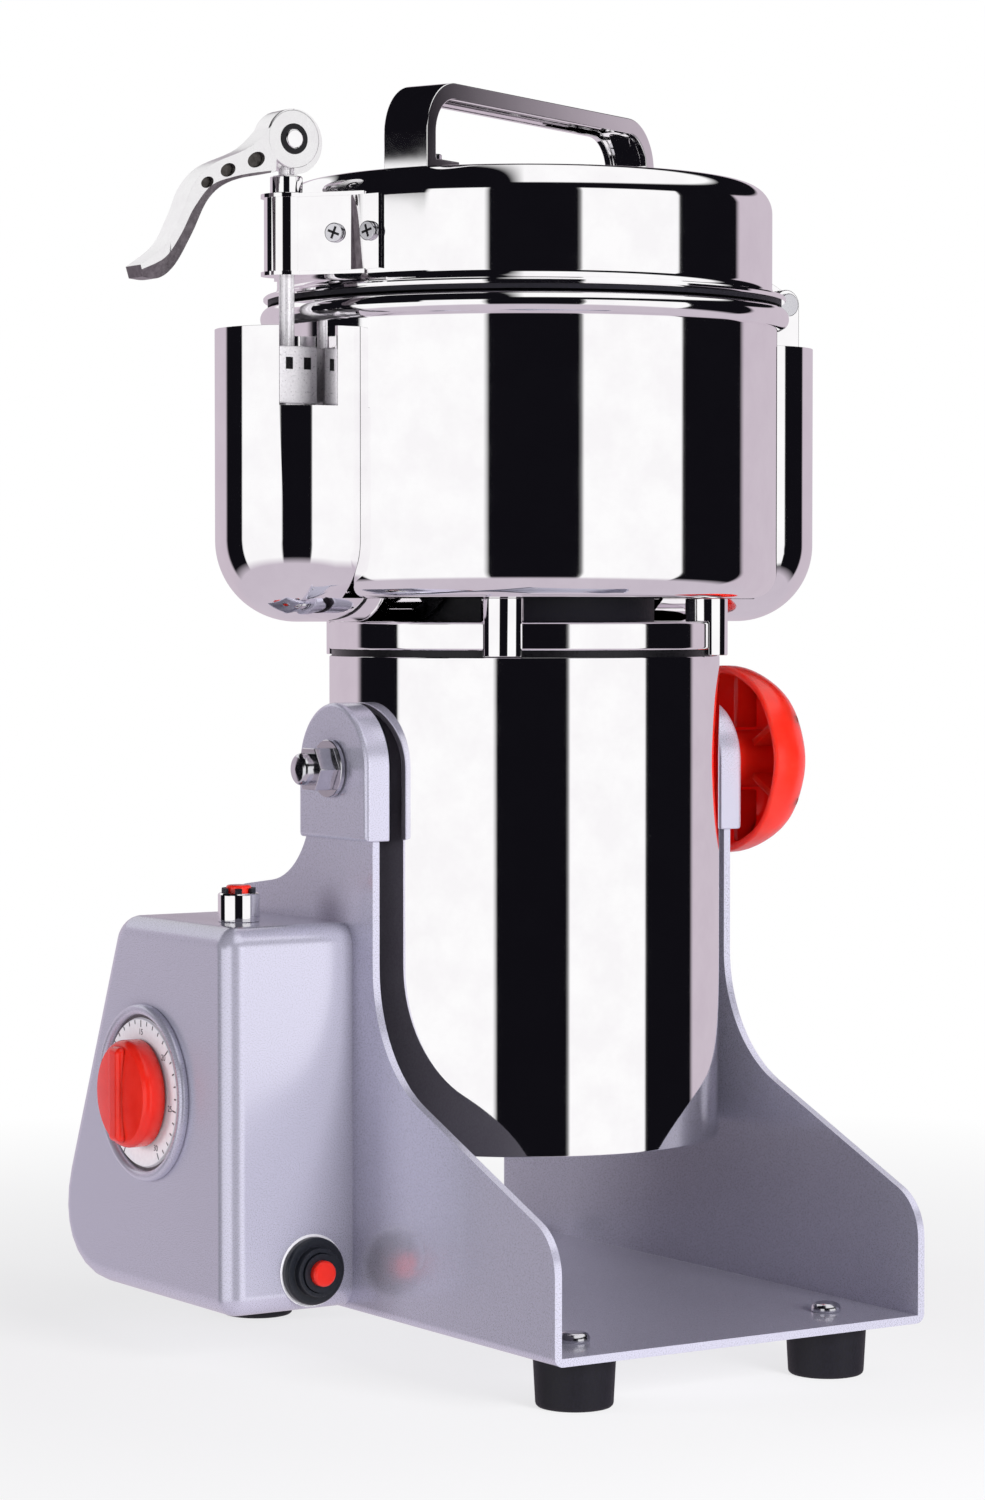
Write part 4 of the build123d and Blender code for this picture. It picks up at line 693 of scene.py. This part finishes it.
inside, floorAt = wide - lockCup["wallMm"], deep - lockCup["webMm"]
lip, lap = lockCup["lipMm"], lockCup["lapMm"]
profile = [
    (hub - lap, floorAt), (inside - lockCup["floorInMm"], floorAt),
    (inside - lockCup["bendInMm"], floorAt - lockCup["bendRiseMm"]), (inside, lockCup["straightInMm"]),
    (inside, lip), (inside + lip, 0),
]
profile += arcPoints((wide - soft / 2, soft / 2), soft / 2, -90, 0, 5)
dome = [math.pi / 2 * step / lockCup["domeSteps"] for step in range(lockCup["domeSteps"] + 1)]
straight, fall = lockCup["straightMm"], lockCup["domeMm"]
profile += [(wide - fall * (1 - math.cos(a)), straight + (deep - straight) * math.sin(a)) for a in dome]
profile += [(hub - lap, deep)]
cup = turnPiece(profile, cupSpot, "right", steps=160, lobes=lockCup["lobes"])
boss = turnPiece(
    ringProfile(lockCup["poleMm"], hub, -lockCup["hubProudMm"], deep - lockCup["hubSinkMm"]),
    cupSpot, "right", steps=64,
)
roundEdges(boss, lockCup["edgeMm"], 3)
ribs = []
reach = (hub + inside) / 2
ribSize = (lockCup["ribTallMm"], lockCup["ribMm"], inside - hub - lockCup["ribShortMm"])
for step in range(lockCup["ribs"]):
    turn = 2 * math.pi * step / lockCup["ribs"]
    spot = Vector((floorAt - lockCup["ribSinkMm"], -reach * math.sin(turn), reach * math.cos(turn))) * mm
    ribs.append(addBlock(cupSpot + spot, ribSize, (turn, 0, 0)))
    roundEdges(ribs[-1], lockCup["edgeMm"])
for piece in (cup, boss, *ribs):
    smoothBy(piece, lockCup["smooth"])
finishPiece(joinPieces([cup, boss, *ribs]), "lockKnob", "lock_knob", "thinRedAbs")
print("small fittings done")

# Control box: a folded case with a sloping back, open towards the panel.
# Its corners give a radius in millimetres and the angle between their two sides.
case = dict(
    topBackMm=73, heelMm=13.12, cornersMm=[(7, 90), (7, 90), (10, 112.8), (26, 67.2)], outerEdgeMm=6.4,
    wallMm=1.5, steps=8, sameMm=0.01, facing=0.9,
)
low, high = boxOf("control_box")
topBack = low.y + case["topBackMm"] * mm
outline = [(low.y, low.z), (low.y, high.z), (topBack, high.z), (high.y + case["heelMm"] * mm, low.z)]
startFresh()
bpy.ops.mesh.primitive_plane_add(size=1)
piece = bpy.context.object
ring = [piece.data.vertices[i] for i in piece.data.polygons[0].vertices]
for vertex, (y, z) in zip(ring, outline):
    vertex.co = (panelLow.x, y, z)
editAll(piece)
bpy.ops.mesh.extrude_region_move(TRANSFORM_OT_translate={"value": (low.x - panelLow.x, 0, 0)})
bpy.ops.mesh.select_all(action="SELECT")
bpy.ops.mesh.normals_make_consistent(inside=False)
bpy.ops.object.mode_set(mode="OBJECT")
same = case["sameMm"] * mm
for (y, z), (radiusMm, angle) in zip(outline, case["cornersMm"]):
    setback = radiusMm * mm / math.tan(math.radians(angle / 2))
    bevelWhere(piece, lambda spot: abs(spot.y - y) < same and abs(spot.z - z) < same, setback, case["steps"])
bevelWhere(piece, lambda spot: abs(spot.x - low.x) < same, case["outerEdgeMm"] * mm, 2 * case["steps"])
selectWhere(piece, "FACE", lambda face: face.normal.x > case["facing"])
bpy.ops.mesh.delete(type="FACE")
bpy.ops.mesh.select_mode(type="VERT")
bpy.ops.object.mode_set(mode="OBJECT")
applyModifier(piece, "SOLIDIFY", thickness=case["wallMm"] * mm, offset=-1)
smoothBy(piece)
finishPiece(piece, "controlBox", "control_box")
print("control box folded")

# Painted shade: dark grey on the inside of the left panel and its pivot cap, which face the tube across a
# narrow gap in shade
shadedInside = dict(withinMm=12, facing=0.9)
shadedInsideTo = panelLow.x + shadedInside["withinMm"] * mm
for name in ("baseShell", "pivotCapLeft"):
    paintFaces(name, "paintedShadeGrey", lambda face: face.normal.x > shadedInside["facing"] and face.center.x < shadedInsideTo)

# Motor tube, a near-black ring of painted shade in the seam above it, and its top cap
tube = dict(wallMm=1.5, lipMm=0.4, seamMm=2, seamShadeInMm=0.7, steps=256)
low, high = boxOf("motor_tube")
axis = Vector(((low.x + high.x) / 2, (low.y + high.y) / 2, 0))
tubeRadius = (high.x - low.x) / 2 / mm
tubeInner = tubeRadius - tube["wallMm"]
tubeLow, tubeTop = low.z / mm, high.z / mm - tube["seamMm"]
piece = turnPiece(ringProfile(tubeInner, tubeRadius, tubeLow, tubeTop), axis, steps=tube["steps"])
roundEdges(piece, tube["lipMm"])
smoothBy(piece)
finishPiece(piece, "motorTube", "motor_tube")
# Painted shade: a near-black ring fills the seam between the tube and its cap
seamShadeRadius = tubeRadius - tube["seamShadeInMm"]
piece = turnPiece(ringProfile(tubeInner, seamShadeRadius, tubeTop, high.z / mm), axis, steps=tube["steps"])
smoothBy(piece)
finishPiece(piece, "capSeal", "motor_tube", "paintedShadeBlack", replaces=False)

topCap = dict(boreMm=13.05, spigotMm=9, fitMm=0.1, edgeMm=1.1)
low, high = boxOf("top_cap")
capTop, capSeat = high.z / mm, low.z / mm + topCap["spigotMm"]
spigot = tubeInner - topCap["fitMm"]
piece = turnPiece(
    [
        (topCap["boreMm"], low.z / mm), (spigot, low.z / mm), (spigot, capSeat),
        (tubeRadius, capSeat), (tubeRadius, capTop), (topCap["boreMm"], capTop),
    ],
    axis, steps=tube["steps"],
)
roundEdges(piece, topCap["edgeMm"], 3)
smoothBy(piece)
finishPiece(piece, "motorCap", "top_cap")

# Bowl: spun pan with a rolled bead round its rim
bowl = dict(wallMm=1.5, cornerMm=8, beadMm=3.6, sealMm=9.05, bodyMm=80.65, smooth=40, steps=256)
low, high = boxOf("bowl")
floorZ, rimZ = low.z / mm, high.z / mm
beadRadius = (high.x - low.x) / 2 / mm
body, wall, corner, bead = bowl["bodyMm"], bowl["wallMm"], bowl["cornerMm"], bowl["beadMm"]
beadCentre = (beadRadius - bead, rimZ - bead)
beadStart = -math.degrees(math.acos((body - beadCentre[0]) / bead))
profile = [(bowl["sealMm"], floorZ)]
profile += arcPoints((body - corner, floorZ + corner), corner, -90, 0, 10)
profile += arcPoints(beadCentre, bead, beadStart, 90, 14)
profile += [(body - wall, rimZ)]
profile += arcPoints((body - corner, floorZ + corner), corner - wall, 0, -90, 8)
profile += [(bowl["sealMm"], floorZ + wall)]
piece = turnPiece(profile, axis, steps=bowl["steps"])
smoothBy(piece, bowl["smooth"])
finishPiece(piece, "grindingBowl", "bowl")

# Lid: spun cap with a flared foot
lid = dict(
    wallMm=1.5, roundMm=9, bodyMm=79, flangeMm=1.6, flangeLowMm=0.4, flangeTopMm=0.5, flareMm=3, poleMm=0.6,
    smooth=40, steps=256,
)
low, high = boxOf("lid")
lidLow, lidTop = low.z / mm, high.z / mm
flange = (high.x - low.x) / 2 / mm
body, wall, corner = lid["bodyMm"], lid["wallMm"], lid["roundMm"]
flangeTop = lidLow + lid["flangeMm"]
underEdge, overEdge = lid["flangeLowMm"], lid["flangeTopMm"]
profile = [(body - wall, lidLow), (flange - underEdge, lidLow), (flange, lidLow + underEdge)]
profile += [(flange, flangeTop - overEdge), (flange - overEdge, flangeTop)]
profile += [(body + lid["flareMm"] / 2, flangeTop)]
profile += arcPoints((body + lid["flareMm"], flangeTop + lid["flareMm"]), lid["flareMm"], -120, -180, 5)
profile += arcPoints((body - corner, lidTop - corner), corner, 0, 90, 12)
profile += [(lid["poleMm"], lidTop), (lid["poleMm"], lidTop - wall)]
profile += arcPoints((body - corner, lidTop - corner), corner - wall, 90, 0, 10)
piece = turnPiece(profile, axis, steps=lid["steps"])
editAll(piece)
bpy.ops.mesh.fill_holes(sides=0)
bpy.ops.object.mode_set(mode="OBJECT")
smoothBy(piece, lid["smooth"])
finishPiece(piece, "lidCap", "lid")
print("turned pieces done")

# Timer dial: a raised painted bezel, a groove and a printed face
dial = dict(
    rimMm=28, grooveMm=(24.7, 23.7), faceMm=23.2, hubMm=17.5, boreMm=5.2, thickMm=2, proudMm=2.8, edgeMm=0.2,
    edgeAngle=20, grooveShare=0.35, faceShare=0.85, paintInMm=0.2, tickCount=30, sweep=300, steps=128,
)
low, high = boxOf("timer_dial")
dialCentre = Vector((high.x, (low.y + high.y) / 2, (low.z + high.z) / 2))
grooveOut, grooveIn = dial["grooveMm"]
grooveFloor, faceTop = dial["thickMm"] * dial["grooveShare"], dial["thickMm"] * dial["faceShare"]
bezel = (dial["rimMm"] - grooveOut) / 2
profile = [(dial["boreMm"], 0), (dial["rimMm"], 0)]
profile += arcPoints((dial["rimMm"] - bezel, dial["proudMm"] - bezel), bezel, 0, 180, 10)
profile += [(grooveOut, grooveFloor), (grooveIn, grooveFloor), (dial["faceMm"], faceTop)]
profile += [(dial["hubMm"], faceTop), (dial["boreMm"], faceTop)]
piece = turnPiece(profile, dialCentre, "left", dial["steps"])
roundEdges(piece, dial["edgeMm"], 2, dial["edgeAngle"])
smoothBy(piece)
finishPiece(piece, "timerDial", "timer_dial")
paintedFrom = (grooveOut - dial["paintInMm"]) * mm
paintFaces("timerDial", "powderCoat", lambda face: (face.center - dialCentre).yz.length > paintedFrom)
# Painted shade: a dark nickel grey ring sunk in the groove, standing in for the shade there
inset = dict(lapMm=0.1, fromMm=0.3, topShare=0.4)
piece = turnPiece(
    ringProfile(
        grooveIn - inset["lapMm"], grooveOut + inset["lapMm"],
        inset["fromMm"], dial["thickMm"] * inset["topShare"],
    ),
    dialCentre, "left", dial["steps"],
)
smoothBy(piece)
finishPiece(piece, "dialGroove", "timer_dial", "paintedShadeNickel", replaces=False)

# Its print: a tick each minute, a longer one and a number at each fifth
ink = dict(
    outerMm=23.0, shortMm=1.3, longMm=2.2, widthMm=0.45, thickMm=0.06, liftMm=0.02,
    numberEach=5, numberMm=2.7, numberRadiusMm=19.2,
)


def dialSpot(radiusMm, turn):  # a place on the face, in metres
    aside, above = -radiusMm * math.sin(turn), radiusMm * math.cos(turn)
    return dialCentre + Vector((-faceTop - ink["liftMm"], aside, above)) * mm


printed = []
for step in range(dial["tickCount"] + 1):
    turn = math.radians(-dial["sweep"] / 2 + dial["sweep"] * step / dial["tickCount"])
    isNumbered = step % ink["numberEach"] == 0
    length = ink["longMm"] if isNumbered else ink["shortMm"]
    spot = dialSpot(ink["outerMm"] - length / 2, turn)
    printed.append(addBlock(spot, (ink["thickMm"], ink["widthMm"], length), (turn, 0, 0)))
    if isNumbered:
        startFresh()
        bpy.ops.object.text_add()
        number = bpy.context.object
        number.data.body = str(step)
        number.data.size = ink["numberMm"] * mm
        number.data.align_x = "CENTER"
        number.data.align_y = "CENTER"
        number.data.extrude = ink["thickMm"] / 2 * mm
        bpy.ops.object.convert(target="MESH")
        number = bpy.context.object
        number.rotation_euler = (math.radians(90), 0, math.radians(-90))
        number.location = dialSpot(ink["numberRadiusMm"], turn)
        bpy.ops.object.transform_apply(location=True, rotation=True, scale=True)
        printed.append(number)
finishPiece(joinPieces(printed), "dialPrint", "timer_dial", "dialInk", replaces=False)
print("dial printed")

# Floor, world, lamps and camera
floorLook = dict(sizeM=8, clearM=0.16, fadeM=0.62, shade=0.72, paper="#f7f6f8", glow="#ffffff")
startFresh()
bpy.ops.mesh.primitive_circle_add(vertices=96, radius=floorLook["sizeM"] / 2, fill_type="NGON")
floor = bpy.context.object
floor.name = "studioFloor"
floor.visible_glossy = False
paper = bpy.data.materials.new("studioPaper")
paper.use_nodes = True
tree = paper.node_tree
tree.nodes.clear()
place = addNode(tree, "ShaderNodeTexCoord")
reach = addNode(tree, "ShaderNodeVectorMath", links={0: (place, "Object")}, operation="LENGTH")
fade = addNode(
    tree, "ShaderNodeMapRange",
    {"From Min": floorLook["clearM"], "From Max": floorLook["fadeM"], "To Min": floorLook["shade"]},
    {"Value": (reach, "Value")},
)
matt = addNode(tree, "ShaderNodeBsdfDiffuse", {"Color": linear(floorLook["paper"])})
glow = addNode(tree, "ShaderNodeEmission", {"Color": linear(floorLook["glow"]), "Strength": 1})
both = addNode(
    tree, "ShaderNodeMixShader", links={0: (fade, "Result"), 1: (matt, "BSDF"), 2: (glow, "Emission")},
)
addNode(tree, "ShaderNodeOutputMaterial", links={"Surface": (both, "Shader")})
floor.data.materials.append(paper)

# The studio seen in the polished steel: white sheets with black cards between them.
# Angles go round from the sheet behind the camera, positive to its right.
studio = dict(
    towardsCamera=(-0.5548, -0.8320, 0), towardsRight=(0.8320, -0.5548, 0), ambient="#7b7984",
    sheet="#ffffff", card="#100f14", far="#cbbfca", below="#c9bfca", softDeg=1.5, farDeg=116,
    cards=[(-111, -80), (-16, 25), (76, 114)], sideCard=(-82, -46), sideCardFrom=(0.107, 0.111),
    ceilingFrom=(0.3, 0.34), belowFrom=(-0.4, -0.55), roofAside=(-0.1, 0), roofFrom=(0.6, 0.66),
    towardsWindow=(0.2217, -1.4700, 0), windowFrom=(-1.15, -1.19),
)
world = bpy.data.worlds.new("studioWorld")
bpy.context.scene.world = world
world.use_nodes = True
tree = world.node_tree
tree.nodes.clear()
place = addNode(tree, "ShaderNodeTexCoord")


def measure(direction):  # how far the view points that way
    return addNode(
        tree, "ShaderNodeVectorMath", {1: direction}, {0: (place, "Generated")}, operation="DOT_PRODUCT",
    )


def rampOver(span, source):  # from 0 to 1 between the two ends of the span
    return addNode(tree, "ShaderNodeMapRange", {"From Min": span[0], "From Max": span[1]}, {"Value": source})


def combine(operation, first, second):
    return addNode(tree, "ShaderNodeMath", links={0: first, 1: second}, operation=operation)


def mixTones(amount, first, second):  # each tone is a hex colour or a (node, output) pair
    node = addNode(tree, "ShaderNodeMix", links={0: amount}, data_type="RGBA")
    for socket, tone in ((6, first), (7, second)):
        if isinstance(tone, str):
            node.inputs[socket].default_value = linear(tone)
        else:
            tree.links.new(tone[0].outputs[tone[1]], node.inputs[socket])
    return node


def bandRamp(stops):  # stops are (degrees, hex colour)
    ramp = addNode(tree, "ShaderNodeValToRGB", links={"Fac": (around, "Result")})
    setRamp(ramp, [((degrees + 180) / 360, tone) for degrees, tone in stops])
    return ramp


aside = measure(studio["towardsRight"])
angle = combine("ARCTAN2", (aside, "Value"), (measure(studio["towardsCamera"]), "Value"))
around = rampOver((-math.pi, math.pi), (angle, "Value"))
stops = [(-180, "far"), (-studio["farDeg"], "far")]
for start, end in studio["cards"]:
    if stops[-1][1] == "sheet":
        stops.append((start - studio["softDeg"], "sheet"))
    stops += [(start, "card"), (end, "card"), (end + studio["softDeg"], "sheet")]
stops[-1] = (studio["farDeg"] + studio["softDeg"], "far")
band = bandRamp([(degrees, studio[tone]) for degrees, tone in stops])
height = addNode(tree, "ShaderNodeSeparateXYZ", links={0: (place, "Generated")})
upper = rampOver(studio["ceilingFrom"], (height, "Z"))
lower = rampOver(studio["belowFrom"], (height, "Z"))
roofSide = rampOver(studio["roofAside"], (aside, "Value"))
roofRise = rampOver(studio["roofFrom"], (height, "Z"))
roof = combine("MULTIPLY", (roofSide, "Result"), (roofRise, "Result"))

# A white window high at the far left, and a card on the near left just above the lid's height
window = rampOver(studio["windowFrom"], (measure(studio["towardsWindow"]), "Value"))
openings = combine("MAXIMUM", (roof, "Value"), (window, "Result"))
ceiling = mixTones((openings, "Value"), studio["card"], studio["sheet"])
(start, end), soft = studio["sideCard"], studio["softDeg"]
black, white = "#000000", "#ffffff"
sideBand = bandRamp([(start - soft, black), (start, white), (end, white), (end + soft, black)])
sideRise = rampOver(studio["sideCardFrom"], (height, "Z"))
sideCard = combine("MULTIPLY", (sideBand, "Color"), (sideRise, "Result"))
withSide = mixTones((sideCard, "Value"), (band, "Color"), studio["card"])
withTop = mixTones((upper, "Result"), (withSide, 2), (ceiling, 2))
withBelow = mixTones((lower, "Result"), (withTop, 2), studio["below"])
rays = addNode(tree, "ShaderNodeLightPath")
mirrored = mixTones((rays, "Is Glossy Ray"), studio["ambient"], (withBelow, 2))
plain = combine("MAXIMUM", (rays, "Is Camera Ray"), (rays, "Is Transmission Ray"))
seen = mixTones((plain, "Value"), (mirrored, 2), studio["sheet"])
sky = addNode(tree, "ShaderNodeBackground", {"Strength": 1}, {"Color": (seen, 2)})
addNode(tree, "ShaderNodeOutputWorld", links={"Surface": (sky, "Background")})

# Lamps: a key from the front and a weak fill from the back left
lamps = {
    "keyLamp": dict(place=(0.05, -0.95, 0.32), watts=11, sizeM=0.35),
    "fillLamp": dict(place=(-1.7, 0.9, 0.3), watts=16, sizeM=0.6),
}
lampAim = Vector((0, 0, 0.18))
for name, lamp in lamps.items():
    startFresh()
    bpy.ops.object.light_add(type="AREA", location=lamp["place"])
    light = bpy.context.object
    light.name = name
    light.data.energy = lamp["watts"]
    light.data.size = lamp["sizeM"]
    light.rotation_euler = (lampAim - light.location).to_track_quat("-Z", "Y").to_euler()
    light.visible_glossy = False

# Camera: from the front left, a little above the middle
eye = dict(place=(-0.6982, -1.0676, 0.2345), pitch=88.039, heading=-33.235, lensMm=96.31, sensorMm=36)
startFresh()
bpy.ops.object.camera_add(
    location=eye["place"], rotation=(math.radians(eye["pitch"]), 0, math.radians(eye["heading"])),
)
camera = bpy.context.object
camera.data.sensor_fit = "VERTICAL"
camera.data.sensor_height = eye["sensorMm"]
camera.data.lens = eye["lensMm"]
scene = bpy.context.scene
scene.camera = camera
scene.view_settings.view_transform = "Standard"
print("studio ready")
